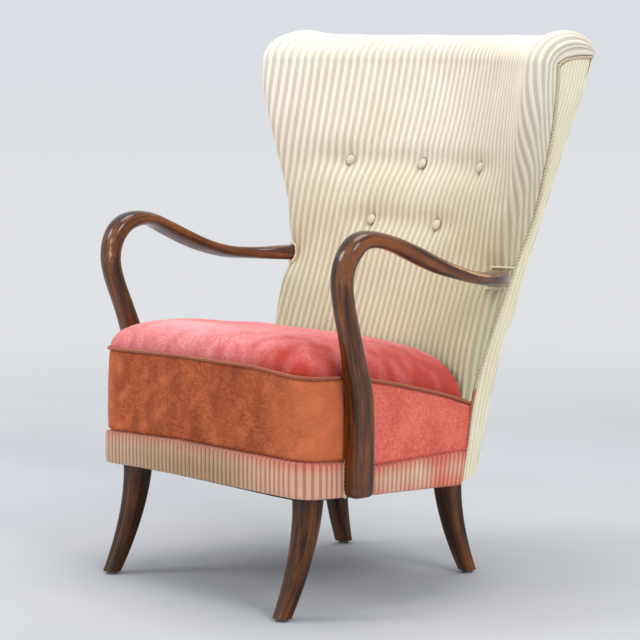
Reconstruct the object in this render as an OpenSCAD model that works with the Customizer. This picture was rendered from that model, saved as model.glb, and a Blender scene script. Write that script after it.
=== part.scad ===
// Fireside chair: bentwood arms, winged and buttoned back, sprung seat.
// Millimetres, +Z up, the chair faces -Y. The origin is on the floor, in the middle of the chair.

/* [Overall] */
// Depth from the front of the front feet to the back of the outside back
overall_depth = 702; // [640:1:760]
// Height of the seat's lower edge at the front
seat_low_z = 207; // [180:1:230]
// Fall of the seat's lower edge, per length to the rear
seat_fall_share = 0.045; // [0:0.005:0.06]

/* [Seat] */
// Half width of the seat between the arms
seat_half_w = 283; // [262:1:288]
// Amount that each side of the seat draws in towards the rear
seat_draw_in = 17; // [6:1:24]
// Distance from the front of the feet to the front of the seat
seat_front = 20; // [16:1:30]
// Forward bow of the seat's front edge
seat_bow = 7; // [2:1:12]
// Radius of the seat's front corners, in plan
seat_corner_r = 38; // [28:1:50]
// Height of the front piping above the seat's lower edge
seat_border_h = 207; // [195:1:225]
// Fall of the side piping from the front to the back
seat_pipe_fall = 74; // [50:1:84]
// Crown of the seat above its piping at the front
seat_crown_front = 42; // [20:1:48]
// Crown of the seat above its piping at the back
seat_crown_rear = 82; // [60:1:90]
// Height of the ribbed band round the seat's foot
band_h = 62; // [50:1:70]
// Thickness of the velvet and its wadding
cloth_t = 3; // [2:0.5:4]
// Diameter of the twisted cord in the seams
cord_d = 6.6; // [5:0.2:7.4]

/* [Back] */
// Height at which the back's outline starts
back_low_z = 190; // [186:1:200]
// Height of the back's outline, without its top roll
back_rise = 770; // [740:1:800]
// How far the tops of the wings stand out beyond the rear of the seat, on each side
wing_flare = 102; // [84:1:118]
// Recline of the outside back over its height
back_run = 191; // [175:1:205]
// Distance from the front of the feet to the rear corners of the back at the bottom
back_foot = 461; // [459:1:466]
// Rearward bow of the outside back
back_bow = 48; // [40:1:54]
// Height of the top roll above the padding
roll_h = 33; // [28:1:40]
// Depth of the sewn tufts
tuft_depth = 11; // [5:1:14]
// Diameter of the covered buttons
button_d = 19; // [15:0.5:24]

/* [Arms] */
// Distance from the front of the feet to the front of the arms
arm_front = 105; // [96:1:120]
// Width of an arm where it stands against the seat
arm_foot_w = 38; // [30:1:42]
// Depth of an arm where it stands against the seat
arm_foot_t = 45; // [36:1:48]
// Width of the armrest in the middle
arm_rest_w = 47; // [42:1:56]
// Thickness of the armrest in the middle
arm_rest_t = 27; // [20:1:30]
// Height of the arm's middle line at the top of its curl
arm_top_z = 644; // [610:1:680]
// Reach of the arm's middle line, from its curl to the back
arm_reach = 398; // [390:1:400]
// Outward bow of the armrest
arm_bow = 52; // [20:1:60]
// Tilt of the armrest, inner edge up
arm_tilt = 13; // [0:1:18]

/* [Legs] */
// How far the front feet stand inside the seat's half width
front_foot_in = 42; // [30:1:54]
// How far the rear feet stand inside the seat's half width
rear_foot_in = 112; // [94:1:122]
// Width of the legs at the top
leg_top_w = 46; // [40:1:48]
// Width of the legs at the foot
leg_foot_w = 28; // [22:1:34]
// Forward sweep of the front legs
front_leg_sweep = 59; // [45:1:64]
// Backward sweep of the rear legs
rear_leg_sweep = 39; // [30:1:50]
// Height of the nail glides under the feet
glide_h = 5; // [3:0.5:7]
// Diameter of the nail glides
glide_d = 20; // [14:1:24]

/* [Springs] */
// Springs across the seat
springs_across = 3; // [2:1:3]
// Springs from front to back
springs_deep = 3; // [2:1:3]
// Outer radius of a spring at its ends
spring_r = 38; // [30:1:42]
// Wire thickness of a spring
spring_wire = 3.4; // [2.5:0.1:4]
// Turns of a spring
spring_turns = 3; // [3:1:4]
// Height of the springs' tops above the seat's lower edge
spring_rise = 146; // [140:1:150]

/* [Hidden] */

// Colours, as on the chair
wood = [0.27, 0.13, 0.07];
frame_wood = [0.78, 0.64, 0.45];
cream = [0.90, 0.87, 0.76];
cream_side = [0.88, 0.83, 0.64];
coral = [0.88, 0.44, 0.43];
rust = [0.76, 0.38, 0.25];
band_pink = [0.86, 0.68, 0.57];
jute = [0.68, 0.55, 0.36];
canvas = [0.74, 0.68, 0.58];
hair = [0.45, 0.38, 0.30];
steel = [0.45, 0.45, 0.46];

// Clearance between pieces that lie against each other
gap = 0.3;
// Overrun of cuts
cut = 1;
round_sides = 20;
bolt_sides = 16;

// Sizes and places worked out from the ones above
seat_bow_x = seat_half_w - seat_corner_r;
seat_corner_d = seat_front + seat_bow + seat_corner_r;
arm_foot_d = arm_front + arm_foot_t / 2;
seat_knee = arm_foot_d + arm_foot_t / 2;
seat_rear_in = 27;
seat_rear = back_foot - seat_rear_in;
seat_rear_x = seat_half_w - seat_draw_in;
wing_half_w = seat_rear_x + wing_flare;
seat_depth = seat_rear - seat_front;
pipe_z = seat_low_z + seat_border_h;
cord_r = cord_d / 2;
cord_seat = cord_r + gap;
rail_h = 64;
rail_t = 24;
rail_low = 3.6;
side_rail_low = 6;
rail_top_z = seat_low_z + rail_low + rail_h;
webbing_t = 2;
webbing_w = 50;
arm_x = seat_half_w + gap + arm_foot_w / 2;

// Turns a distance behind the front of the feet into a place along Y.
function at(d) = d - overall_depth / 2;
function mix(a, b, s) = a + (b - a) * s;
function seat_low(d) = seat_low_z - seat_fall_share * d;

// Smooth value at a share of the way along an evenly spaced table.
function along(table, share) =
    let (
        last = len(table) - 1,
        f = min(max(share, 0), 1) * last,
        i = min(floor(f), last - 1),
        s = f - i,
        a = table[max(i - 1, 0)],
        b = table[i],
        c = table[i + 1],
        e = table[min(i + 2, last)]
    )
    b + (c - a) / 2 * s + (2 * a - 5 * b + 4 * c - e) / 2 * s * s
        + (3 * b - 3 * c + e - a) / 2 * s * s * s;

// Solid skinned over rings that have the same number of points each.
module loft(rings) {
    n = len(rings[0]);
    last = (len(rings) - 1) * n;
    sides = [
        for (j = [0 : len(rings) - 2], i = [0 : n - 1])
            let (a = j * n + i, b = j * n + (i + 1) % n)
            each [[a, a + n, b], [b, a + n, b + n]]
    ];
    ends = [for (i = [1 : n - 2]) each [[0, i, i + 1], [last, last + i + 1, last + i]]];
    polyhedron([for (r = rings) each r], concat(sides, ends));
}

// Solid between two sheets of points, row by row.
module quilt(outer, inner) {
    cols = len(outer[0]);
    rows = len(outer);
    n = rows * cols;
    skin = [
        for (j = [0 : rows - 2], i = [0 : cols - 2])
            let (a = j * cols + i)
            each [[a, a + cols, a + 1], [a + 1, a + cols, a + cols + 1]]
    ];
    lining = [for (f = skin) [f[0] + n, f[2] + n, f[1] + n]];
    edge = concat(
        [for (i = [0 : cols - 1]) i],
        [for (j = [1 : rows - 1]) j * cols + cols - 1],
        [for (i = [1 : cols - 1]) n - 1 - i],
        [for (j = [1 : rows - 2]) (rows - 1 - j) * cols]
    );
    rim = [
        for (k = [0 : len(edge) - 1])
            let (a = edge[k], b = edge[(k + 1) % len(edge)])
            each [[a, b, a + n], [b, b + n, a + n]]
    ];
    polyhedron(concat([for (r = outer) each r], [for (r = inner) each r]), concat(skin, lining, rim));
}

// Tube of a radius along a list of points.
module tube(path, radius, sides) {
    last = len(path) - 1;
    rings = [
        for (i = [0 : last])
            let (
                t = path[min(i + 1, last)] - path[max(i - 1, 0)],
                w = t / norm(t),
                side = abs(w[2]) > 0.9 ? [1, 0, 0] : [0, 0, 1],
                u = cross(w, side) / norm(cross(w, side)),
                v = cross(w, u)
            )
            [for (k = [0 : sides - 1])
                path[i] + radius * (cos(360 * k / sides) * u + sin(360 * k / sides) * v)]
    ];
    loft(rings);
}

module both_sides() {
    children();
    mirror([1, 0, 0]) children();
}

// Seat outline

// Half width of the seat at a distance behind the feet's front.
function seat_side(d) =
    d < seat_corner_d
        ? seat_bow_x + sqrt(max(seat_corner_r * seat_corner_r - pow(seat_corner_d - d, 2), 0))
        : seat_half_w - seat_draw_in * max(0, (d - seat_knee) / (seat_rear - seat_knee));

// Right half of the seat's edge, from the middle of the front to a distance along the side.
corner_steps = 6;
front_steps = 3;
function seat_edge(side_end, out) = concat(
    [for (i = [0 : front_steps - 1])
        [seat_bow_x * i / front_steps, seat_front + seat_bow * pow(i / front_steps, 2) - out]],
    [for (k = [0 : corner_steps])
        let (a = 90 * k / corner_steps)
        [seat_bow_x + (seat_corner_r + out) * sin(a),
            seat_corner_d - (seat_corner_r + out) * cos(a)]],
    side_end > seat_corner_d ? [[seat_side(side_end) + out, side_end]] : []
);

// Height of the seat's piping at a distance behind the feet's front.
function seat_pipe_z(d) = pipe_z - seat_pipe_fall * pow(max(0, d - seat_front) / seat_depth, 2);

// Back outline: tables from the bottom to the top of the back, at even steps of its height

// Places across, as shares of the way from the seat's rear corner out to the wing's top
crest_x_shares = [-0.118, -0.090, -0.068, -0.039, 0.011, 0.062, 0.195, 0.452, 0.657, 0.823, 0.892];
pipe_x_shares = [0.001, 0.011, 0.040, 0.098, 0.177, 0.235, 0.361, 0.567, 0.776, 0.942, 1.000];
rear_x_shares = [-0.158, -0.097, -0.028, 0.040, 0.127, 0.177, 0.275, 0.412, 0.567, 0.726, 0.765];
// Places behind the rear bottom corner, as shares of the recline
rear_d_shares = [0.00, 0.05, 0.12, 0.21, 0.34, 0.47, 0.59, 0.69, 0.78, 0.885, 1.00];
pipe_d_shares = [-0.29, -0.22, -0.16, -0.03, 0.11, 0.28, 0.43, 0.445, 0.435, 0.40, 0.38];
crest_d_shares = [-0.40, -0.34, -0.27, -0.20, -0.08, 0.05, 0.10, 0.115, 0.07, 0.05, 0.08];
middle_d_shares = [-0.25, -0.22, -0.19, -0.136, 0.00, 0.13, 0.27, 0.44, 0.60, 0.72, 0.80];
// Radius of the wing's rolled edge, as shares of the one at the top
nose_r_shares = [0.55, 0.58, 0.60, 0.64, 0.73, 0.82, 0.91, 0.96, 1.00, 1.00, 1.00];
wing_nose_r = 22;
face_power = 1.85;
panel_t = 2.5;

function back_z(t) = back_low_z + back_rise * t;
function back_share(z) = (z - back_low_z) / back_rise;
function crest_x(t) = seat_rear_x + wing_flare * along(crest_x_shares, t);
function pipe_x(t) = seat_rear_x + wing_flare * along(pipe_x_shares, t);
function rear_x(t) = seat_rear_x + wing_flare * along(rear_x_shares, t);
function rear_d(t) = back_foot + back_run * along(rear_d_shares, t);
function pipe_d(t) = back_foot + back_run * along(pipe_d_shares, t);
function crest_d(t) = back_foot + back_run * along(crest_d_shares, t);
function middle_d(t) = back_foot + back_run * along(middle_d_shares, t);
function nose_r(t) = wing_nose_r * along(nose_r_shares, t);
// Outside back, bowed between its corners.
function outside_d(x, t) = rear_d(t) + back_bow * (1 - pow(min(abs(x) / rear_x(t), 1), 3));

// Places of the buttons: shares of the wing half width across and of the back's height up,
// then how far out of the tuft they sit, as a share of its depth
button_shares = [
    [-0.478, 0.716, 0.46], [0, 0.714, 0.37], [0.478, 0.716, 0.46],
    [-0.242, 0.576, 0.34], [0.242, 0.576, 0.34]
];
tuft_spread = 27;
// The arm's end presses the wing's roll in here
arm_end_z_share = 0.802;
arm_foot_lift = 2;
arm_foot_z = seat_low(arm_foot_d) + arm_foot_lift;
arm_end_z = mix(arm_foot_z, arm_top_z, arm_end_z_share);
arm_press_in_share = 0.737;
arm_press_x = arm_x - arm_foot_w * arm_press_in_share;
arm_press = 13;
arm_press_spread = 30;

function pinch(x, z, cx, cz, spread_r) = exp(-(pow(x - cx, 2) + pow(z - cz, 2)) / pow(spread_r, 2));
function press(x, z) =
    tuft_depth * max([for (b = button_shares)
        pinch(x, z, b[0] * wing_half_w, back_z(b[1]), tuft_spread)])
    + arm_press * pinch(abs(x), z, arm_press_x, arm_end_z, arm_press_spread);

face_shares = [0, 0.1, 0.21, 0.317, 0.43, 0.557, 0.70, 0.85];
nose_steps = 4;
nose_turn = 100;
nose_clear = 1;

// Half of the padded face at one height, from the middle to the side seam, drawn in by an inset.
function half_face(t, inset) =
    let (
        r = nose_r(t) - inset,
        cx = crest_x(t),
        cd = crest_d(t) + nose_r(t),
        fall = middle_d(t) - crest_d(t),
        lean = atan(fall * face_power / cx),
        nx = cx - r * sin(lean),
        nd = cd - r * cos(lean)
    )
    concat(
        [for (s = face_shares)
            [s * nx, mix(middle_d(t) + inset, nd, pow(s, face_power)) + press(s * nx, back_z(t))]],
        [for (k = [0 : nose_steps])
            let (
                a = -lean + (nose_turn + lean) * k / nose_steps,
                x = cx + r * sin(a),
                push = press(x, back_z(t))
            )
            [x - push / 3,
                min(cd - r * cos(a) + push, pipe_d(t) - cord_seat - (nose_steps - k) * nose_clear)]],
        [[pipe_x(t) - inset, pipe_d(t) - cord_seat - gap]]
    );

// The face ends here and the top roll starts; the ear's seam runs back and up from the wing's.
roll_share = 0.957;
ear_rise = 18;
ear_bend = 4;
ear_swell_share = 0.26;
function ear_x(s) = mix(pipe_x(roll_share), rear_x(1), s);
function ear_z(s) = back_z(roll_share) + ear_rise * pow(1 - pow(1 - s, ear_bend), 0.6);

// Whole width of the padded face at one height, as points.
function face_row(t, inset) =
    let (half = half_face(t, inset), last = len(half) - 1)
    concat(
        [for (i = [0 : last - 1]) [-half[last - i][0], at(half[last - i][1]), back_z(t)]],
        [for (p = half) [p[0], at(p[1]), back_z(t)]]
    );

// The top roll carries the face over to the outside back.
function roll_row(angle, inset) =
    let (
        row = face_row(roll_share, inset),
        middle = (len(row) - 1) / 2,
        faces = len(face_shares),
        s = (1 - cos(angle)) / 2,
        rx = rear_x(1)
    )
    [for (i = [0 : len(row) - 1])
        let (
            k = abs(i - middle),
            f = k < faces ? face_shares[k] : 1,
            nose = max(0, k - faces) / (middle - faces),
            x_end = (i < middle ? -1 : 1) * (f * (rx - cord_d) + nose * cord_d - inset * f),
            d_end = outside_d(x_end, 1) - inset,
            swell = pow(f, 12),
            rise = (roll_h - inset) * (1 + ear_swell_share * swell) * pow(max(cos(90 * nose), 0), 0.6)
        )
        [mix(row[i][0], x_end, s)
                + (i < middle ? -1 : 1) * ear_swell_share * roll_h / 2 * swell * sin(angle),
            mix(row[i][1], at(d_end), s),
            row[i][2] - back_z(roll_share) + ear_z(s) + rise * sin(angle)]];

cover_rows_shares = [
    0.21, 0.27, 0.33, 0.39, 0.44, 0.477, 0.52, 0.576, 0.63, 0.675, 0.715, 0.76, 0.82, 0.89, roll_share
];
roll_angles = [30, 60, 90, 120, 150, 180];
function padded_face(inset) = concat(
    [for (t = cover_rows_shares) face_row(t, inset)],
    [for (a = roll_angles) roll_row(a, inset)]
);

module back_cover() {
    color(cream) quilt(padded_face(0), padded_face(panel_t));
}

// Stuffing between the cover and the hessian, from post to post.
roll_pad_t = 24;
hessian_t = 1.5;
webbing_seat = 1.5;
webbing_room = webbing_t + 2 * webbing_seat + 2 * gap;
post_clear = 8;
function post_limit(x, t) =
    abs(x) > post_outer_x(t) - post_w - post_clear ? post_rear_d(t) - post_t - gap : rear_d(1) + back_bow;
pad_skip = nose_steps + 2;
pad_gap = 2.4;
pad_rows_shares = [0.21, 0.33, 0.44, 0.52, 0.576, 0.63, 0.715, 0.79, 0.87, roll_share];
pad_roll_angles = [45, 90, 135, 180];
function inner_columns(row) = [for (i = [pad_skip : len(row) - 1 - pad_skip]) row[i]];
function hessian_row(t, off) =
    [for (p = inner_columns(face_row(t, panel_t + gap)))
        [p[0], at(min(rail_front_d(p[0], t), post_limit(p[0], t)) - webbing_room - off), p[2]]];

module back_stuffing() {
    front = concat(
        [for (t = pad_rows_shares) inner_columns(face_row(t, panel_t + pad_gap))],
        [for (a = pad_roll_angles) inner_columns(roll_row(a, panel_t + pad_gap))]
    );
    rear = concat(
        [for (t = pad_rows_shares) hessian_row(t, hessian_t + gap)],
        [for (a = pad_roll_angles) inner_columns(roll_row(a, roll_pad_t))]
    );
    color(hair) quilt(front, rear);
}

module back_hessian() {
    rows = pad_rows_shares;
    color(canvas) quilt([for (t = rows) hessian_row(t, hessian_t)], [for (t = rows) hessian_row(t, 0)]);
}

// The wing's edge is rolled over a cord of stuffing.
roll_slack = 1.6;
roll_dent = 60;
module wing_roll(side) {
    rows = [for (t = [0.22 : 0.066 : 0.95]) t];
    color(hair) loft([
        for (t = rows)
            let (
                r = nose_r(t) - panel_t - gap - roll_slack,
                push = press(crest_x(t), back_z(t))
            )
            [for (k = [0 : 7])
                [side * (crest_x(t) - push / 3) + side * r * cos(45 * k),
                    at(crest_d(t) + nose_r(t) + push + (side * r * sin(45 * k)) * (1 - push / roll_dent)),
                    back_z(t)]]
    ]);
}

module wing_roll_left() { wing_roll(-1); }
module wing_roll_right() { wing_roll(1); }

// Boards of the back's frame

post_w = 26;
post_t = 34;
post_in = 8;
post_rows_shares = [0.02, 0.1, 0.2, 0.3, 0.4, 0.5, 0.6, 0.7, 0.8, 0.9, 0.95];
function post_outer_x(t) = rear_x(t) - post_in;
function post_rear_d(t) = rear_d(t) - panel_t - gap;

module back_post(side) {
    color(frame_wood) loft([
        for (t = post_rows_shares)
            let (
                xo = post_outer_x(t),
                xi = xo - post_w,
                dr = post_rear_d(t),
                df = dr - post_t,
                corners = [[xi, df], [xo, df], [xo, dr], [xi, dr]]
            )
            [for (k = [0 : 3])
                let (c = corners[side > 0 ? k : 3 - k])
                [side * c[0], at(c[1]), back_z(t)]]
    ]);
}

module back_post_left() { back_post(-1); }
module back_post_right() { back_post(1); }

// Rail bent to the bow of the outside back, between the posts.
cross_rail_t = 24;
panel_slack = 2;
function rail_front_d(x, t) = outside_d(x, t) - panel_t - panel_slack - cross_rail_t;
module cross_rail(low, high) {
    stations = 9;
    color(frame_wood) loft([
        for (i = [0 : stations - 1])
            let (
                s = 2 * i / (stations - 1) - 1,
                x0 = s * (post_outer_x(low) - post_w - 3 * gap),
                x1 = s * (post_outer_x(high) - post_w - 3 * gap)
            )
            [
                [x0, at(rail_front_d(x0, low)), back_z(low)],
                [x0, at(rail_front_d(x0, low) + cross_rail_t), back_z(low)],
                [x1, at(rail_front_d(x1, high) + cross_rail_t), back_z(high)],
                [x1, at(rail_front_d(x1, high)), back_z(high)]
            ]
    ]);
}

top_rail_shares = [0.87, 0.945];
arm_rail_shares = [0.43, 0.52];
bottom_rail_shares = [0.15, 0.22];
module back_top_rail() { cross_rail(top_rail_shares[0], top_rail_shares[1]); }
module back_arm_rail() { cross_rail(arm_rail_shares[0], arm_rail_shares[1]); }
module back_bottom_rail() { cross_rail(bottom_rail_shares[0], bottom_rail_shares[1]); }

// Board that holds the wing forward of the post.
wing_board_t = 18;
board_slack = 3;
board_rows_shares = [0.50, 0.58, 0.66, 0.74, 0.82, 0.90, 0.94];
module wing_board(side) {
    color(frame_wood) mirror([side < 0 ? 1 : 0, 0, 0]) loft([
        for (t = board_rows_shares)
            let (
                df = crest_d(t) + 2 * nose_r(t) - panel_t + gap + arm_press / 2,
                dr = post_rear_d(t) - post_t - gap,
                xo_f = pipe_x(t) - panel_t - gap - board_slack,
                back_share = (dr - pipe_d(t)) / (rear_d(t) - pipe_d(t)),
                xo_r = mix(pipe_x(t), rear_x(t), back_share) - panel_t - gap - board_slack,
                corners = [
                    [xo_f - wing_board_t, df], [xo_f, df],
                    [min(xo_r, post_outer_x(t)), dr], [min(xo_r, post_outer_x(t)) - wing_board_t, dr]
                ]
            )
            [for (c = corners) [c[0], at(c[1]), back_z(t)]]
    ]);
}

module wing_board_left() { wing_board(-1); }
module wing_board_right() { wing_board(1); }

// Webbing on the rails of the back.
back_straps = 4;
module back_webbing() {
    stops = [0.16, 0.22, 0.32, 0.43, 0.52, 0.64, 0.76, 0.87, 0.93];
    for (i = [0 : back_straps - 1]) {
        share = (i + 0.5) / back_straps * 2 - 1;
        color(jute) loft([
            for (t = stops)
                let (
                    x = share * (post_outer_x(t) - post_w - webbing_w / 2 - cut),
                    left = x - webbing_w / 2,
                    right = x + webbing_w / 2,
                    left_d = rail_front_d(left, t) - webbing_seat,
                    right_d = rail_front_d(right, t) - webbing_seat
                )
                [
                    [left, at(left_d - webbing_t), back_z(t)],
                    [right, at(right_d - webbing_t), back_z(t)],
                    [right, at(right_d), back_z(t)],
                    [left, at(left_d), back_z(t)]
                ]
        ]);
    }
}

// Outside back and side panels

panel_rows_shares = [0.005, 0.08, 0.16, 0.24, 0.32, 0.40, 0.48, 0.56, 0.64, 0.72, 0.80, 0.88, 0.95, 0.979];
module outside_back() {
    cols = 10;
    rows = function (off) [
        for (t = panel_rows_shares)
            [for (i = [0 : cols])
                let (x = (1 - 2 * i / cols) * (rear_x(t) - (i == 0 || i == cols ? off : 0)))
                [x, at(outside_d(x, t) - off), back_z(t)]]
    ];
    color(cream) quilt(rows(0), rows(panel_t));
}

panel_swell = 2;
side_rows_shares = [0.005, 0.08, 0.16, 0.24, 0.32, 0.40, 0.48, 0.56, 0.64, 0.72, 0.80, 0.88, 0.915];
function panel_point(t, s, off) =
    let (
        front = pipe_d(t) + cord_seat + 6 * gap,
        x = mix(pipe_x(t), rear_x(t) - gap, s) + panel_swell * sin(180 * s) - off
    )
    [x, at(mix(front, rear_d(t) - gap - panel_t, s)), back_z(t)];
function panel_top(s, off) =
    let (p = panel_point(roll_share, s, off))
    [p[0], p[1], ear_z(s) - 2 * cord_seat - gap];

module side_panel(side) {
    shares = [for (k = [0 : 4]) (side > 0 ? k : 4 - k) / 4];
    rows = function (off) concat(
        [for (t = side_rows_shares) [for (s = shares) panel_point(t, s, off)]],
        [[for (s = shares) panel_top(s, off)]]
    );
    place = function (rows) [for (row = rows) [for (p = row) [side * p[0], p[1], p[2]]]];
    color(cream_side) quilt(place(rows(0)), place(rows(panel_t)));
}

module side_panel_left() { side_panel(-1); }
module side_panel_right() { side_panel(1); }

// Twisted cord up the edge of the wing and back along the ear.
module wing_piping(side) {
    rise = [for (t = [0.01 : 0.05 : 0.92]) [pipe_x(t), at(pipe_d(t)), back_z(t)]];
    ear = [
        for (a = [0 : 30 : 180])
            let (s = (1 - cos(a)) / 2)
            [ear_x(s), at(mix(pipe_d(roll_share), rear_d(1) - cord_d, s)), ear_z(s) - cord_seat - gap]
    ];
    color(cream) tube([for (p = concat(rise, ear)) [side * p[0], p[1], p[2]]], cord_r, 6);
}

module wing_piping_left() { wing_piping(-1); }
module wing_piping_right() { wing_piping(1); }

// Covered buttons, sunk in the tufts.
button_h = 6;
module back_buttons() {
    for (b = button_shares) {
        x = b[0] * wing_half_w;
        z = back_z(b[1]);
        t = b[1];
        nx = crest_x(t);
        d = mix(middle_d(t), crest_d(t), pow(abs(x) / nx, face_power)) + press(x, z);
        slope = atan(back_run * 0.16 * 10 / back_rise);
        turn = atan((middle_d(t) - crest_d(t)) / nx * face_power * pow(abs(x) / nx, face_power - 1));
        color(cream) translate([x, at(d) - tuft_depth * b[2], z])
            rotate([90 - slope, 0, (x < 0 ? 1 : x > 0 ? -1 : 0) * turn])
            rotate_extrude($fn = round_sides)
            polygon([
                [0, 0], [button_d * 0.42, 0], [button_d / 2, button_h * 0.25],
                [button_d * 0.47, button_h * 0.55], [button_d * 0.36, button_h * 0.83],
                [button_d * 0.2, button_h * 0.96], [0, button_h]
            ]);
    }
}

// Arms

// Middle line of an arm: outward, backward and upward shares, then width and thickness shares
// from the foot's section (0) to the armrest's (1), the share of the tilt, and how round it is.
arm_shares = [
    [0.02, 0.130, 0.000, 0.00, 0.00, 0.0, 0.0],
    [0.08, 0.130, 0.215, 0.00, 0.00, 0.0, 0.1],
    [0.12, 0.125, 0.384, 0.00, 0.20, 0.0, 0.4],
    [0.20, 0.097, 0.508, 0.02, 0.45, 0.0, 0.8],
    [0.31, 0.061, 0.628, 0.05, 0.60, 0.0, 1.0],
    [0.39, 0.023, 0.746, 0.05, 0.80, 0.0, 1.0],
    [0.43, 0.004, 0.848, 0.05, 0.90, 0.0, 1.0],
    [0.44, 0.018, 0.932, 0.15, 0.95, 0.0, 1.0],
    [0.48, 0.068, 0.984, 0.30, 0.98, 0.1, 1.0],
    [0.60, 0.150, 1.000, 0.48, 0.85, 0.3, 1.0],
    [0.80, 0.245, 0.984, 0.66, 0.90, 0.6, 1.0],
    [0.96, 0.355, 0.941, 0.86, 0.95, 0.9, 0.9],
    [1.00, 0.475, 0.892, 1.00, 1.00, 1.0, 0.8],
    [0.98, 0.595, 0.851, 1.00, 1.00, 0.9, 0.8],
    [0.86, 0.720, 0.820, 0.84, 1.00, 0.7, 0.8],
    [0.60, 0.850, 0.807, 0.40, 0.92, 0.4, 0.6],
    [0.20, 0.950, 0.803, 0.00, 0.62, 0.1, 0.3],
    [-0.14, 1.000, arm_end_z_share, 0.00, 0.45, 0.0, 0.0]
];
arm_curl_d = arm_foot_d - arm_reach * arm_shares[0][1];
arm_steps = 42;
arm_sides = 16;
arm_square_foot = 9;
arm_square_rest = 2.5;

function arm_point(s) = [
    arm_x + arm_bow * along([for (r = arm_shares) r[0]], s),
    at(arm_curl_d + arm_reach * along([for (r = arm_shares) r[1]], s)),
    arm_foot_z + (arm_top_z - arm_foot_z) * along([for (r = arm_shares) r[2]], s)
];

// Ring of the arm's section at a share of its length.
function arm_ring(s) =
    let (
        step = 0.004,
        c = arm_point(s),
        t = arm_point(min(s + step, 1)) - arm_point(max(s - step, 0)),
        w = t / norm(t),
        lateral = [1, 0, 0] - w * w[0],
        u0 = lateral / norm(lateral),
        v0 = cross(w, u0),
        tilt = arm_tilt * along([for (r = arm_shares) r[5]], s),
        u = cos(tilt) * u0 + sin(tilt) * v0,
        v = cos(tilt) * v0 - sin(tilt) * u0,
        half_w = mix(arm_foot_w, arm_rest_w, along([for (r = arm_shares) r[3]], s)) / 2,
        half_t = mix(arm_foot_t, arm_rest_t, along([for (r = arm_shares) r[4]], s)) / 2
    )
    [for (k = [0 : arm_sides - 1])
        let (
            a = 360 * (k + 0.5) / arm_sides,
            ca = cos(a),
            sa = sin(a),
            p = 2 / mix(arm_square_foot, arm_square_rest, along([for (r = arm_shares) r[6]], s))
        )
        c + u * half_w * sign(ca) * pow(abs(ca), p) + v * half_t * sign(sa) * pow(abs(sa), p)];

module arm(side) {
    rings = [for (i = [0 : arm_steps]) arm_ring(i / arm_steps)];
    color(wood) mirror([side < 0 ? 1 : 0, 0, 0]) difference() {
        loft(rings);
        arm_screw_pair(gap);
    }
}

module arm_left() { arm(-1); }
module arm_right() { arm(1); }

// Cord laid round each arm where it meets the back.
module arm_collars() {
    s = 0.985;
    step = 0.004;
    c = arm_point(s);
    t = arm_point(s + step) - arm_point(s - step);
    ring = arm_ring(s);
    n = len(ring);
    points = [
        for (k = [0 : n])
            let (p = ring[k % n], o = p - c)
            p + o / norm(o) * (cord_r * 0.7 + gap)
    ];
    round_it = concat([for (k = [0 : n - 1]) points[k]], [mix(points[n - 1], points[n], 0.9)]);
    both_sides() color(cream) tube(round_it, cord_r * 0.7, 6);
}

// Screws that hold the arms: two through each side rail, and one through the back post.
arm_screw_d = 6;
arm_screw_in = 20;
screw_head_h = 2;
module arm_screw_pair(extra) {
    z0 = rail_top_z - rail_h / 2;
    for (z = [z0 - rail_h / 4, z0 + rail_h / 4])
        translate([seat_half_w - rail_t, at(arm_foot_d), z]) rotate([0, 90, 0]) {
            translate([0, 0, -gap - screw_head_h])
                cylinder(h = screw_head_h, d = arm_screw_d * 2, $fn = bolt_sides);
            translate([0, 0, -gap])
                cylinder(h = rail_t + arm_screw_in + extra, d = arm_screw_d + 2 * extra, $fn = bolt_sides);
        }
}

module arm_screws() {
    both_sides() color(steel) arm_screw_pair(0);
}

// Legs

// Sabre leg: a square block in the seat's corner, then a swept and tapered leg to the foot.
leg_curve_power = 1.8;
leg_sides = 16;
leg_squareness = 4;
leg_rings = 10;
function leg_section(cx, cd, z, w) = [
    for (k = [0 : leg_sides - 1])
        let (
            a = 360 * (k + 0.5) / leg_sides,
            p = 2 / leg_squareness
        )
        [cx + w / 2 * sign(cos(a)) * pow(abs(cos(a)), p),
            at(cd + w / 2 * sign(sin(a)) * pow(abs(sin(a)), p)), z]
];
function leg_rows(top_x, top_d, top_z, foot_x, foot_d) = [
    for (i = [0 : leg_rings])
        let (s = 1 - i / leg_rings)
        leg_section(
            mix(top_x, foot_x, pow(s, leg_curve_power)),
            mix(top_d, foot_d, pow(s, leg_curve_power)),
            mix(top_z, glide_h, s),
            mix(leg_top_w, leg_foot_w, pow(s, 0.9))
        )
];

front_foot_x = seat_half_w - front_foot_in;
rear_foot_x = seat_half_w - rear_foot_in;
front_foot_d = leg_foot_w / 2;
block_step = 6;
rear_leg_splay = 15;
rear_rail_in = 6;
block_w = leg_top_w - block_step;
front_leg_x = seat_half_w - rail_t - gap - block_w / 2;
front_leg_d = front_foot_d + front_leg_sweep;
rear_leg_x = rear_foot_x - rear_leg_splay;
rear_rail_t = 22;
rear_rail_rear = back_foot - rear_rail_in;
rear_leg_d = rear_rail_rear + gap + leg_top_w / 2;
rear_foot_d = rear_leg_d + rear_leg_sweep;
block_h = 52;
rear_block_d = leg_top_w * 0.7;

module leg_front(side) {
    top = seat_low(front_leg_d);
    color(wood) {
        mirror([side < 0 ? 1 : 0, 0, 0])
            loft(leg_rows(front_leg_x, front_leg_d, top, front_foot_x, front_foot_d));
        difference() {
            translate([side * front_leg_x - block_w / 2, at(front_leg_d) - block_w / 2, top])
                cube([block_w, block_w, block_h]);
            front_bolt(side, gap);
        }
    }
}

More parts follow.
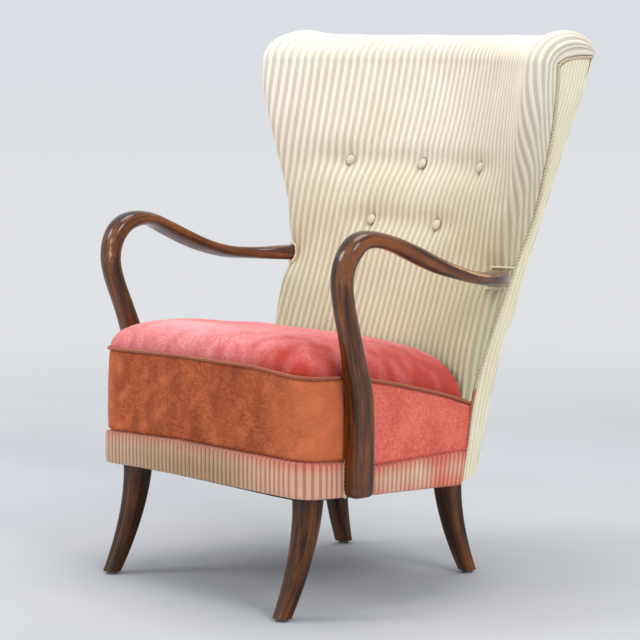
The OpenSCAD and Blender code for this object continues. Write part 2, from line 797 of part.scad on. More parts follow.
module leg_rear(side) {
    top = seat_low(rear_leg_d);
    color(wood) {
        mirror([side < 0 ? 1 : 0, 0, 0])
            loft(leg_rows(rear_leg_x, rear_leg_d, top, rear_foot_x, rear_foot_d));
        difference() {
            translate([side * rear_leg_x - leg_top_w / 2, at(rear_rail_rear) + gap, top])
                cube([leg_top_w, rear_block_d, block_h]);
            rear_bolt(side, gap);
        }
    }
}

module leg_front_left() { leg_front(-1); }
module leg_front_right() { leg_front(1); }
module leg_rear_left() { leg_rear(-1); }
module leg_rear_right() { leg_rear(1); }

module foot_glides() {
    both_sides() color(steel)
        for (p = [[front_foot_x, front_foot_d], [rear_foot_x, rear_foot_d]])
            translate([p[0], at(p[1]), 0]) {
                cylinder(h = glide_h / 2, d1 = glide_d, d2 = glide_d, $fn = round_sides);
                translate([0, 0, glide_h / 2])
                    cylinder(h = glide_h / 2, d = glide_d * 0.8, $fn = round_sides);
            }
}

// Seat frame

block_front = front_leg_d - block_w / 2 - gap;
rail_lap = 14;
front_rail_rear = block_front + rail_lap;
rail_gap = 1;
function rail_corner_d(x) =
    seat_corner_d - sqrt(pow(seat_corner_r - rail_gap, 2) - pow(x - seat_bow_x, 2));
module front_rail() {
    inner_x = seat_half_w - rail_t - gap;
    half = [for (p = seat_edge(seat_corner_d, -rail_gap)) if (p[0] < inner_x - cut) p];
    edge_d = rail_corner_d(inner_x);
    notch_x = front_leg_x - block_w / 2 - gap;
    right = concat(
        half,
        [[inner_x, edge_d], [inner_x, block_front], [notch_x, block_front], [notch_x, front_rail_rear]]
    );
    last = len(right) - 1;
    outline = concat(
        [for (p = right) [p[0], at(p[1])]],
        [for (i = [0 : last - 1]) [-right[last - i][0], at(right[last - i][1])]]
    );
    color(frame_wood) difference() {
        translate([0, 0, seat_low_z + rail_low]) linear_extrude(rail_h) polygon(outline);
        both_sides() front_bolt(1, gap);
    }
}

post_front = post_rear_d(post_rows_shares[0]) - post_t - gap;
module side_rail(side) {
    inner_x = seat_half_w - rail_t;
    corner = [for (p = seat_edge(seat_corner_d, -rail_gap)) if (p[0] > inner_x + cut) [p[0], at(p[1])]];
    edge_d = rail_corner_d(inner_x);
    step = pipe_d(0) - cord_d;
    rear = post_front - gap;
    rear_out = min(pipe_x(0), rear_x(0)) - panel_t - 4 * gap;
    outline = concat(
        [[inner_x, at(edge_d)]],
        corner,
        [
            [seat_side(seat_knee) - gap, at(seat_knee)],
            [seat_side(step) - gap, at(step)],
            [rear_out, at(step)],
            [rear_out, at(rear)],
            [seat_side(rear) - rail_t, at(rear)],
            [inner_x, at(seat_knee)]
        ]
    );
    color(frame_wood) mirror([side < 0 ? 1 : 0, 0, 0]) difference() {
        intersection() {
            translate([0, 0, back_low_z / 2]) linear_extrude(seat_low_z) polygon(outline);
            rotate([90, 0, 90]) linear_extrude(seat_half_w + cut)
                polygon([
                    [at(0), seat_low(0) + side_rail_low],
                    [at(seat_rear), seat_low(seat_rear) + side_rail_low],
                    [at(seat_rear), rail_top_z], [at(0), rail_top_z]
                ]);
        }
        arm_screw_pair(gap);
    }
}

module side_rail_left() { side_rail(-1); }
module side_rail_right() { side_rail(1); }

module rear_rail() {
    reach = post_outer_x(post_rows_shares[0]) - post_w - gap;
    low = seat_low(rear_rail_rear - rear_rail_t) + rail_low;
    color(frame_wood) difference() {
        translate([-reach, at(rear_rail_rear - rear_rail_t), low]) cube([2 * reach, rear_rail_t, rail_h]);
        both_sides() rear_bolt(1, gap);
    }
}

// Blocks glued in the rear corners, and behind the front legs.
corner_block_w = 45;
corner_block_h = 40;
corner_block_drop = 12;
module corner_blocks() {
    z = rail_top_z - corner_block_h - corner_block_drop;
    rear = min(rear_rail_rear - rear_rail_t, post_front) - gap;
    inner = seat_side(rear) - rail_t - gap;
    front = front_leg_d + block_w / 2 + gap;
    side = seat_half_w - rail_t - gap;
    front_w = arm_foot_d - arm_screw_d - gap - front;
    both_sides() color(frame_wood) translate([0, 0, z]) {
        linear_extrude(corner_block_h)
            polygon([
                [inner, at(rear)], [inner - corner_block_w, at(rear)],
                [inner, at(rear - corner_block_w)]
            ]);
        linear_extrude(corner_block_h)
            polygon([[side, at(front)], [side - front_w, at(front)], [side, at(front + front_w)]]);
    }
}

// Bolts through the front and rear rails into the legs' blocks.
bolt_d = 8;
bolt_head_h = 4;
bolt_in = 18;
bolt_sunk = 1;
bolt_mouth = 7;
module bolt(length, extra) {
    // A hole for a bolt goes on past its head, out of the rail's face.
    head_h = bolt_head_h + (extra > 0 ? bolt_mouth : 0);
    translate([0, 0, -head_h])
        cylinder(h = head_h, d = bolt_d * 1.7 + 2 * extra, $fn = bolt_sides);
    cylinder(h = length + extra, d = bolt_d + 2 * extra, $fn = bolt_sides);
}

module front_bolt(side, extra) {
    z = seat_low_z + rail_low + rail_h * 0.4;
    translate([side * front_leg_x, at(seat_front) + seat_bow + bolt_head_h + bolt_sunk, z])
        rotate([-90, 0, 0]) bolt(block_front - seat_front - seat_bow - bolt_head_h + bolt_in, extra);
}

module rear_bolt(side, extra) {
    z = seat_low(rear_leg_d) + block_h * 0.5;
    translate([side * rear_leg_x, at(rear_rail_rear - rear_rail_t), z])
        rotate([-90, 0, 0]) bolt(rear_rail_t + bolt_in, extra);
}

module leg_bolts() {
    color(steel) both_sides() {
        front_bolt(1, 0);
        rear_bolt(1, 0);
    }
}

// Webbing, springs and hessian under the seat's stuffing

module on_seat_foot(lift) {
    translate([0, at(0), seat_low_z + lift]) rotate([-atan(seat_fall_share), 0, 0]) children();
}

strap_in = 12;
strap_rear_in = 3;
strap_side_in = 10;
cross_strap_w = 44;
module seat_webbing_lengthwise() {
    low = rail_low - webbing_t - gap / 2;
    start = seat_front + cloth_t + strap_in;
    length = rear_rail_rear - start - strap_rear_in;
    color(jute) on_seat_foot(low)
        for (i = [0 : 4]) {
            x = (i - 2) * (seat_half_w - rail_t) * 0.34;
            translate([x - webbing_w / 2, start + (abs(i - 2) > 1 ? seat_bow : 0), 0])
                cube([webbing_w, length - (abs(i - 2) > 1 ? seat_bow : 0), webbing_t]);
        }
}

module seat_webbing_crosswise() {
    low = side_rail_low - webbing_t - gap / 2;
    color(jute) on_seat_foot(low)
        for (i = [0 : 3]) {
            d = mix(front_leg_d + leg_top_w, rear_rail_rear - rear_rail_t - webbing_w, i / 3);
            reach = seat_side(d + webbing_w) - strap_side_in;
            translate([-reach, d, 0]) cube([2 * reach, cross_strap_w, webbing_t]);
        }
}

spring_top_z = seat_low_z + spring_rise;
spring_waist = 7;
spring_front_room = 4;
spring_rear_room = 52;
spring_side_room = 24;
rings_per_turn = 8;
function spring_radius(s) = spring_r - spring_wire / 2 - spring_waist * sin(180 * s);
spring_count = spring_turns * rings_per_turn;
function spring_path(low, high) = [
    for (i = [0 : spring_count])
        let (s = i / spring_count, a = 360 * i / rings_per_turn)
        [spring_radius(s) * cos(a), spring_radius(s) * sin(a), mix(low, high, s) + spring_wire * (0.5 - s)]
];
spring_test = spring_path(seat_low_z + side_rail_low, spring_top_z);
spring_self_gap = min([
    for (i = [0 : spring_count], j = [0 : spring_count])
        if (j - i > rings_per_turn / 2) norm(spring_test[i] - spring_test[j])
]) - spring_wire;
echo(str("Least gap between a spring's turns: ", spring_self_gap));

module seat_springs() {
    first_d = front_leg_d + leg_top_w / 2 + spring_r + spring_front_room;
    last_d = rear_rail_rear - rear_rail_t - spring_r - spring_rear_room;
    span = seat_half_w - rail_t - spring_r - spring_side_room;
    color(steel)
        for (i = [0 : springs_across - 1], j = [0 : springs_deep - 1]) {
            x = mix(-span, span, i / (springs_across - 1));
            d = mix(first_d, last_d, j / (springs_deep - 1));
            low = seat_low(d - spring_r) + side_rail_low + gap;
            translate([x, at(d), 0]) rotate([0, 0, x > 0 ? 180 : 0])
                tube(spring_path(low, spring_top_z - gap), spring_wire / 2, 6);
        }
}

// Rear limit of the seat at a place across, just in front of the back's cover.
function back_face_d(x, t) =
    mix(middle_d(t), crest_d(t), pow(min(abs(x) / crest_x(t), 1), face_power));
rear_side_share = 0.19;
seat_back_shares = [0.19, 0.21, 0.25, 0.296];
seat_back_gap = 3;
function seat_rear_d(x) = min([for (t = seat_back_shares) back_face_d(x, t)]) - seat_back_gap;

skirt = 42;
hessian_front_in = 4;
hessian_rear_in = 16;
wadding_gap = 1.5;
module seat_hessian() {
    front = seat_front + seat_bow + skirt + hessian_front_in;
    reach = seat_side(seat_rear) - skirt;
    rear = seat_rear_d(0) - skirt - hessian_rear_in;
    color(canvas) translate([-reach, at(front), spring_top_z])
        cube([2 * reach, rear - front, hessian_t]);
}

// Crowned top of the seat: sheet of points at a height below the surface.
seat_cols = 18;
seat_row_shares = [0, 0.012, 0.045, 0.095, 0.16, 0.24, 0.34, 0.46, 0.58, 0.70, 0.81, 0.91, 1];
function seat_fade(s) = pow(1 - pow(1 - min(s / 0.3, 1), 3), 0.55);
function seat_top_z(x, d, w, s) =
    let (
        crown = mix(seat_crown_front, seat_crown_rear, (d - seat_front) / seat_depth),
        across = pow(max(1 - pow(abs(x) / w, mix(5, 3, s)), 0), mix(0.45, 0.6, s))
    )
    seat_pipe_z(d) + cord_seat + crown * across * seat_fade(s);
function seat_sheet(inset, drop) = [
    for (s = seat_row_shares)
        let (d0 = mix(seat_front + inset, seat_rear, s), w = seat_side(d0 + seat_bow) - inset)
        [for (i = [0 : seat_cols])
            let (
                share = sin(90 * (2 * i / seat_cols - 1)),
                x = w * share,
                d = d0 + seat_bow * share * share * (1 - s)
                    + (seat_rear_d(x) - inset - seat_rear) * pow(s, 3)
            )
            [x, at(d), seat_top_z(x, d, w, s) - drop]]
];

module seat_cover() {
    color(coral) quilt(seat_sheet(0, 0), seat_sheet(0, cloth_t));
}

// Stuffing: thick under the cover, with a skirt down to the rails all round.
module seat_stuffing() {
    top = seat_sheet(wadding_gap, cloth_t + gap);
    rows = len(top);
    low = rail_top_z + gap;
    under = spring_top_z + hessian_t + gap;
    bottom = [
        for (j = [0 : rows - 1])
            [for (i = [0 : seat_cols])
                let (inside = i > 2 && i < seat_cols - 2 && j > 2 && j < rows - 1)
                [top[j][i][0], top[j][i][1], inside ? under : low]]
    ];
    color(hair) quilt(top, bottom);
}

// Strips round the seat

// Strip along a line in plan, between a lower and an upper height at each point.
module strip(inner, outer_low, outer_high, low, high) {
    loft([
        for (i = [0 : len(inner) - 1])
            [
                [inner[i][0], at(inner[i][1]), low[i]],
                [inner[i][0], at(inner[i][1]), high[i]],
                [outer_high[i][0], at(outer_high[i][1]), high[i]],
                [outer_low[i][0], at(outer_low[i][1]), low[i]]
            ]
    ]);
}

function mirrored(half) = concat(
    [for (i = [0 : len(half) - 2]) [-half[len(half) - 1 - i][0], half[len(half) - 1 - i][1]]],
    half
);

band_out = 8;
border_out = 5;
band_fall = 11;
function band_top(d) = seat_low_z + band_h - band_fall * min(d / seat_knee, 1);
front_end = arm_front - gap;

module seat_border_front() {
    inner = mirrored(seat_edge(front_end, 0));
    top = mirrored(seat_edge(front_end, cloth_t));
    bottom = mirrored(seat_edge(front_end, cloth_t + border_out));
    color(rust) strip(
        inner, bottom, top,
        [for (p = inner) band_top(p[1]) + gap],
        [for (p = inner) seat_pipe_z(p[1]) - cord_r]
    );
}

module base_band_front() {
    inner = mirrored(seat_edge(front_end, 0));
    outer = mirrored(seat_edge(front_end, cloth_t + band_out));
    color(band_pink) strip(
        inner, outer, outer,
        [for (p = inner) seat_low(p[1])],
        [for (p = inner) band_top(p[1])]
    );
}

// Strip along the seat's side, from behind the arm to the wing's piping, between two heights.
side_start = arm_foot_d + arm_foot_t / 2 + gap;
side_steps = 5;
module side_strip(side, low_out, high_out, low, high) {
    color(side_strip_color(high_out)) loft([
        for (k = [0 : side_steps])
            let (
                d = mix(side_start, seat_rear, k / side_steps),
                dl = side_strip_d(k / side_steps, low(d)),
                dh = side_strip_d(k / side_steps, high(d)),
                thin = 1 - 0.6 * k / side_steps,
                ring = [
                    [seat_side(dl), at(dl), low(dl)],
                    [seat_side(dl) + low_out * thin, at(dl), low(dl)],
                    [seat_side(dh) + (high_out > cloth_t ? high_out * thin : high_out), at(dh), high(dh)],
                    [seat_side(dh), at(dh), high(dh)]
                ]
            )
            [for (i = [0 : 3]) let (p = ring[side > 0 ? 3 - i : i]) [side * p[0], p[1], p[2]]]
    ]);
}

function side_strip_d(share, z) =
    mix(side_start, pipe_d(back_share(z)) - cord_seat - gap, share);
function side_strip_color(out) = out > cloth_t ? band_pink : coral;

module seat_borders_side() {
    for (side = [-1, 1])
        side_strip(side, cloth_t + border_out, cloth_t,
            function (d) band_top(d) + gap, function (d) seat_pipe_z(d) - cord_r);
}

module base_bands_side() {
    for (side = [-1, 1])
        side_strip(side, cloth_t + band_out, cloth_t + band_out,
            function (d) seat_low(d), function (d) band_top(d));
}

// Twisted cord round the seat, in three lengths between the arms.
arm_lean = 24;
module seat_piping() {
    out = cord_r + gap;
    front_half = seat_edge(front_end - arm_lean, out);
    front = [for (p = mirrored(front_half)) if (p[1] < front_end - arm_lean + cut) p];
    color(rust) tube([for (p = front) [p[0], at(p[1]), seat_pipe_z(p[1]) + gap / 2]], cord_r, 6);
    last_d = pipe_d(rear_side_share) - cord_d - gap;
    both_sides() color(rust) tube(
        [for (k = [0 : 8])
            let (d = mix(side_start + cord_r, last_d, k / 8))
            [seat_side(d) + out, at(d), seat_pipe_z(d) + gap / 2]],
        cord_r, 6
    );
}

// Cloth tacked under the seat, and its tacks.
dust_t = 1.2;
module dust_cover() {
    half = seat_edge(seat_knee, -gap * 4);
    rear = rear_rail_rear - gap;
    right = concat(half, [[seat_side(rear) - gap * 4, rear]]);
    outline = mirrored(right);
    hole = leg_top_w + 2 * cut;
    color(canvas) on_seat_foot(0) difference() {
        linear_extrude(dust_t) polygon(outline);
        for (side = [-1, 1]) {
            translate([side * front_leg_x - hole / 2, front_leg_d - hole / 2, -cut])
                cube([hole, hole, dust_t + 2 * cut]);
            translate([side * rear_leg_x - hole / 2, rear_leg_d - hole / 2, -cut])
                cube([hole, hole, dust_t + 2 * cut]);
        }
    }
}

tack_d = 7;
tack_h = 1.2;
tack_in = 14;
tack_spacing = 80;
rear_tack_spacing = 58;
module tack() { cylinder(h = tack_h, d = tack_d, $fn = bolt_sides); }

module dust_cover_tacks() {
    color(steel) on_seat_foot(-tack_h) {
        for (x = [-2 : 2])
            translate([x * tack_spacing, seat_front + tack_in + cloth_t, 0]) tack();
        for (x = [-1 : 1])
            translate([x * rear_tack_spacing, rear_rail_rear - tack_in / 2, 0]) tack();
        for (side = [-1, 1], k = [0 : 3]) {
            d = mix(arm_front, seat_rear - 2 * tack_in, k / 3);
            translate([side * (seat_side(d) - tack_in), d, 0]) tack();
        }
    }
}

leg_front_left();
leg_front_right();
leg_rear_left();
leg_rear_right();
foot_glides();
arm_left();
arm_right();
arm_collars();
arm_screws();
front_rail();
rear_rail();
side_rail_left();
side_rail_right();
corner_blocks();
leg_bolts();
seat_webbing_lengthwise();
seat_webbing_crosswise();
seat_springs();
seat_hessian();
seat_stuffing();
seat_cover();
seat_border_front();
seat_borders_side();
base_band_front();
base_bands_side();
seat_piping();
dust_cover();
dust_cover_tacks();
back_post_left();
back_post_right();
back_top_rail();
back_arm_rail();
back_bottom_rail();
wing_board_left();
wing_board_right();
back_webbing();
back_hessian();
back_stuffing();
wing_roll_left();
wing_roll_right();
back_cover();
back_buttons();
wing_piping_left();
wing_piping_right();
side_panel_left();
side_panel_right();
outside_back();
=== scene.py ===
"""Looks of a fireside chair: ribbed winged back, velvet seat, bentwood arms and sabre legs.

Sizes are in millimetres until a mesh is made: x across, z up, and d the distance behind the front
of the feet. Places on the back are shares of its height, called t.
"""

import math

import bmesh
import bpy
import numpy as np
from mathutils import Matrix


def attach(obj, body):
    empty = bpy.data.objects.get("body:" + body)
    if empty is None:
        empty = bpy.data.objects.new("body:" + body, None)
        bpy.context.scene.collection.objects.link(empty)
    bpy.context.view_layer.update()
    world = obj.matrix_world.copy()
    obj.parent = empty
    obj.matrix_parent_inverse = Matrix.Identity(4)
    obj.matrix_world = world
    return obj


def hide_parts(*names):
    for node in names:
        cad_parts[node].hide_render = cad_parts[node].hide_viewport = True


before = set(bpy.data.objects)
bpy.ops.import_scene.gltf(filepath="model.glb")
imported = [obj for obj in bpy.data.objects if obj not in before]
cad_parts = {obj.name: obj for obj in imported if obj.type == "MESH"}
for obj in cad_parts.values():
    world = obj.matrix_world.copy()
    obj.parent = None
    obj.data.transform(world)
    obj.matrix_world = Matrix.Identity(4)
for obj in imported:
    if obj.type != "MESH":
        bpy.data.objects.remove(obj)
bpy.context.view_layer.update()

MM = 0.001
ROOT = "root"
SIDES = ((-1, "left"), (1, "right"))

# Seat
OVERALL_DEPTH = 702
SEAT_LOW_Z = 207
SEAT_FALL = 0.045
SEAT_HALF_W = 283
SEAT_DRAW_IN = 17
SEAT_FRONT = 20
SEAT_BOW = 7
SEAT_CORNER_R = 38
SEAT_BORDER_H = 207
SEAT_PIPE_FALL = 74
SEAT_CROWN_FRONT = 47
SEAT_CROWN_REAR = 73
CROWN_START = 0.26
CROWN_SQUARE = (7, 3.6)
CROWN_ROUND = (0.4, 0.55)
SEAT_LEVELS_BEHIND = (0.19, 0.21, 0.25, 0.296)
SEAT_BACK_GAP = 3
BAND_H = 62
BAND_FALL = 11
BAND_OUT = 8
BAND_RIB_H = 2.2
BAND_SIDE_RIB_H = 2.0
BORDER_OUT = 5
STRIP_ROLL = 2.2
SIDE_THINNING = 0.6
CLOTH_T = 3
CORD_R = 3.3
BAND_CORD_R = 2.6
GAP = 0.3

# Back
BACK_LOW_Z = 190
BACK_RISE = 770
BACK_RUN = 191
BACK_FOOT = 461
BACK_BOW = 48
WING_HALF_W = 368
WING_NOSE_R = 22
NOSE_TURN = math.radians(100)
FACE_POWER = 1.85
SEAM_Q = 0.25
SEAM_ROOM = 4
BACK_COVER_LOW = 0.192
PANEL_T = 2.5
ROLL_H = 33
ROLL_SHARE = 0.957
EAR_RISE = 18
EAR_BEND = 4
EAR_SWELL = 0.26
PANEL_LOW = 0.005
CORNER_RISE = 11
CORNER_H = 60

# Buttons, and the creases between them; places are shares of the wing's half width and of the
# height.
BUTTON_D = 19
BUTTON_H = 5.5
BUTTON_TILT = math.radians(19)
BUTTON_PROFILE = [(0.42, 0.0), (0.50, 0.22), (0.50, 0.40), (0.47, 0.58), (0.42, 0.72),
                  (0.34, 0.85), (0.24, 0.94), (0.12, 0.99), (0.02, 1.0)]
BUTTONS = [(-0.478, 0.716), (0, 0.714), (0.478, 0.716), (-0.242, 0.576), (0.242, 0.576)]
TUFT_DEPTH = 11
TUFT_SPREAD = 27
CREASES = [(0.715, 0.478), (0.576, 0.242)]
CREASE_DEPTH = 8.5
CREASE_SPREAD = 25
CREASE_END = 60

# Arms and legs
ARM_FRONT = 105
ARM_FOOT_W = 38
ARM_FOOT_T = 45
ARM_FOOT_LIFT = 6
ARM_FOOT_ROUND = 0.012
ARM_FOOT_TAPER = 0.72
ARM_REST_W = 47
ARM_REST_T = 27
ARM_TOP_Z = 644
ARM_REACH = 398
ARM_BOW = 52
ARM_TILT = 13
ARM_SQUARE_FOOT = 6
ARM_SQUARE_REST = 2.5
ARM_END_X = 287
ARM_END_Z = 557
ARM_PRESS = 13
ARM_PRESS_SPREAD = 30
COLLAR_R = 2.4
FRONT_FOOT_X = 241
REAR_FOOT_X = 171
LEG_TOP_W = 46
LEG_FOOT_W = 28
LEG_BLOCK_W = LEG_TOP_W - 6
LEG_BLOCK_H = 50
LEG_BEND = 1.8
LEG_ROUND = 0.5
RAIL_T = 24
REAR_RAIL_IN = 6
REAR_LEG_SPLAY = 15
FRONT_LEG_SWEEP = 59
REAR_LEG_SWEEP = 39
GLIDE_H = 5

# Ribs of the cloths: from crest to crest, and how far they stand out and dip in
RIB_PITCH = 15.6
SIDE_PITCH = 11.8
BAND_PITCH = 11.2
RIB_CREST = 1.5
RIB_VALLEY = 0.9
SIDE_RIB_H = 2.0
BACK_RIB_VALLEY = 1.6
SIDE_RIB_VALLEY = 1.4

# Sizes worked out from these
SEAT_BOW_X = SEAT_HALF_W - SEAT_CORNER_R
SEAT_CORNER_D = SEAT_FRONT + SEAT_BOW + SEAT_CORNER_R
ARM_FOOT_D = ARM_FRONT + ARM_FOOT_T / 2
ARM_X = SEAT_HALF_W + GAP + ARM_FOOT_W / 2
SEAT_KNEE = ARM_FOOT_D + ARM_FOOT_T / 2
SEAT_REAR = BACK_FOOT - 27
SEAT_DEPTH = SEAT_REAR - SEAT_FRONT
PIPE_Z = SEAT_LOW_Z + SEAT_BORDER_H
CORD_SEAT = CORD_R + GAP
FRONT_END = ARM_FRONT + 5


def at(d):
    """The frame's y of a distance behind the front of the feet."""
    return d - OVERALL_DEPTH / 2


def mix(a, b, s):
    return a + (b - a) * s


def along(table, share):
    """Smooth value at a share of the way along an evenly spaced table."""
    table = np.asarray(table, float)
    last = len(table) - 1
    f = np.clip(share, 0, 1) * last
    i = np.minimum(np.floor(f), last - 1).astype(int)
    s = f - i
    a, b = table[np.maximum(i - 1, 0)], table[i]
    c, e = table[i + 1], table[np.minimum(i + 2, last)]
    return (b + (c - a) / 2 * s + (2 * a - 5 * b + 4 * c - e) / 2 * s * s
            + (3 * b - 3 * c + e - a) / 2 * s ** 3)


def smooth(low, high, value):
    """Smooth step from 0 at low to 1 at high."""
    s = np.clip((value - low) / (high - low), 0, 1)
    return s * s * (3 - 2 * s)


def waves(seed, x, y, length, count=10, stretch=1.0):
    """Soft unevenness, about -1 to 1, with features of a length; stretch makes them long in y."""
    draw = np.random.default_rng(seed)
    total = np.zeros(np.broadcast(x, y).shape)
    for _ in range(count):
        turn = draw.uniform(0, 2 * math.pi)
        size = length * draw.uniform(0.6, 1.6)
        shift = draw.uniform(0, 2 * math.pi)
        place = x * math.cos(turn) + y * math.sin(turn) / stretch
        total += np.sin(2 * math.pi / size * place + shift)
    return total / math.sqrt(count * 2)


def ridge(place, pitch, power=1.9):
    """Height of a rib, from 0 in a valley to 1 on a crest, at a place across the ribs."""
    return (0.5 + 0.5 * np.cos(2 * math.pi * place / pitch)) ** power


def unit(vector):
    return vector / np.linalg.norm(vector)


def xyz(x, y, z):
    """Points from their coordinates, each a number or an array."""
    return np.stack(np.broadcast_arrays(x, y, z), -1)


def summed(steps):
    """Distance run at each point of a line, from the lengths of its steps."""
    return np.concatenate([[0], np.cumsum(steps)])


def circle(sides, shift=0.0):
    """Cosines and sines of even turns; a shift of half a step puts flats instead of points."""
    turn = 2 * math.pi * (np.arange(sides) + shift) / sides
    return np.cos(turn), np.sin(turn)


def squared(share, power):
    """A cosine or sine drawn out towards a rounded square."""
    return np.sign(share) * np.abs(share) ** power


# Meshes

def make_object(name, points, faces, material, marks=None, sharp=40):
    """Object of a mesh in millimetres; marks are values per point that the materials read."""
    mesh = bpy.data.meshes.new(name)
    mesh.from_pydata((np.asarray(points, float) * MM).tolist(), [], faces)
    mesh.polygons.foreach_set("use_smooth", [True] * len(mesh.polygons))
    mesh.set_sharp_from_angle(angle=math.radians(sharp))
    for key, values in (marks or {}).items():
        mesh.attributes.new(key, "FLOAT", "POINT").data.foreach_set(
            "value", np.asarray(values, np.float32).ravel())
    mesh.materials.append(material)
    mesh.update()
    made = bpy.data.objects.new(name, mesh)
    bpy.context.scene.collection.objects.link(made)
    return made


def seated(made, slot, *nodes):
    """The piece rides on the chair and stands for its nodes, which it hides. The slot is not used.
    """
    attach(made, ROOT)
    if nodes:
        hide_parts(*nodes)
    return made


def grid_faces(rows, cols, start=0, flip=False, wrap=False):
    """Quads of a grid of points; wrap joins its last column to its first."""
    j, i = np.meshgrid(np.arange(rows - 1), np.arange(cols if wrap else cols - 1), indexing="ij")
    a = start + j * cols + i
    b = start + j * cols + (i + 1) % cols
    quads = np.stack([a, b, b + cols, a + cols], -1).reshape(-1, 4)
    return (quads[:, ::-1] if flip else quads).tolist()


def grid_normals(grid):
    normal = np.cross(np.gradient(grid, axis=1), np.gradient(grid, axis=0))
    return normal / np.maximum(np.linalg.norm(normal, axis=-1, keepdims=True), 1e-9)


def rim_of(rows, cols):
    """Indices of a grid's edge points, in order round it."""
    return np.concatenate([
        np.arange(cols), np.arange(1, rows) * cols + cols - 1,
        (rows - 1) * cols + np.arange(cols - 2, -1, -1), np.arange(rows - 2, 0, -1) * cols])


def shell(name, outer, inner, step, material, marks, flip=False):
    """Closed cloth: a fine outer sheet, a lining with one point per step, and the rim between."""
    rows, cols = outer.shape[:2]
    lining = inner[::step, ::step]
    low_rows, low_cols = lining.shape[:2]
    start = rows * cols
    faces = grid_faces(rows, cols, flip=flip)
    faces += grid_faces(low_rows, low_cols, start, not flip)
    fine, coarse = rim_of(rows, cols), rim_of(low_rows, low_cols) + start
    half = step // 2
    for k in range(len(coarse)):
        c0, c1 = int(coarse[k]), int(coarse[(k + 1) % len(coarse)])
        run = [int(fine[(k * step + i) % len(fine)]) for i in range(step + 1)]
        strips = [(run[i + 1], run[i], c0) for i in range(half)]
        strips += [(c1, run[half], c0)]
        strips += [(run[i + 1], run[i], c1) for i in range(half, step)]
        faces += [f[::-1] if flip else f for f in strips]
    points = np.concatenate([outer.reshape(-1, 3), lining.reshape(-1, 3)])
    full = {key: np.concatenate([values.ravel(), values[::step, ::step].ravel()])
            for key, values in marks.items()}
    return make_object(name, points, faces, material, full, 60)


def sweep(name, rings, material, marks=None, sharp=40, flip=False):
    """Solid skinned over rings, an array of rings by points; its ends are capped."""
    rings = np.asarray(rings, float)
    count, sides = rings.shape[:2]
    faces = grid_faces(count, sides, flip=flip, wrap=True)
    first = list(range(sides))
    last = [(count - 1) * sides + i for i in range(sides)]
    faces += [first, last[::-1]] if flip else [first[::-1], last]
    return make_object(name, rings.reshape(-1, 3), faces, material, marks, sharp)


def spaced(path, step, fit=round):
    """The path again, with points a step apart, and each point's distance along it."""
    run = summed(np.linalg.norm(np.diff(path, axis=0), axis=1))
    where = np.linspace(0, run[-1], int(fit(run[-1] / step)) + 1)
    return np.stack([np.interp(where, run, column) for column in path.T], -1), where


def rope(name, points, radius, material, lay=21.0, fuzz=0.0, seed=1):
    """Twisted cord of three strands on a smooth line through points; lay is one turn's length."""
    strands, groove, sides, step = 3, 0.36, 24, 1.3
    points = np.asarray(points, float)
    share = np.linspace(0, 1, len(points) * 24)
    path, run = spaced(np.stack([along(column, share) for column in points.T], -1), step)
    tangent = np.gradient(path, axis=0)
    tangent /= np.linalg.norm(tangent, axis=1, keepdims=True)
    upright = abs(tangent[0][2]) > 0.9
    u = np.cross(tangent[0], np.array([1.0, 0, 0]) if upright else np.array([0, 0, 1.0]))
    turn = 2 * math.pi * np.arange(sides) / sides
    draw = np.random.default_rng(seed)
    rings, lobes = [], []
    for p, w, distance in zip(path, tangent, run):
        u = unit(u - w * np.dot(u, w))
        v = np.cross(w, u)
        lobe = np.abs(np.cos(strands / 2 * (turn - 2 * math.pi * distance / lay)))
        r = radius * (1 - groove * (1 - lobe ** 0.6)) * (1 + fuzz * draw.uniform(-1, 1, sides))
        rings.append(p + r[:, None] * (np.cos(turn)[:, None] * u + np.sin(turn)[:, None] * v))
        lobes.append(lobe)
    return sweep(name, rings, material, {"rib": lobes}, flip=True)


# Shader nodes

def colour(code):
    """Linear colour of a colour code such as B35F40."""
    values = [int(code[i:i + 2], 16) / 255 for i in (0, 2, 4)]
    linear = [v / 12.92 if v <= 0.04045 else ((v + 0.055) / 1.055) ** 2.4 for v in values]
    return tuple(linear + [1.0])


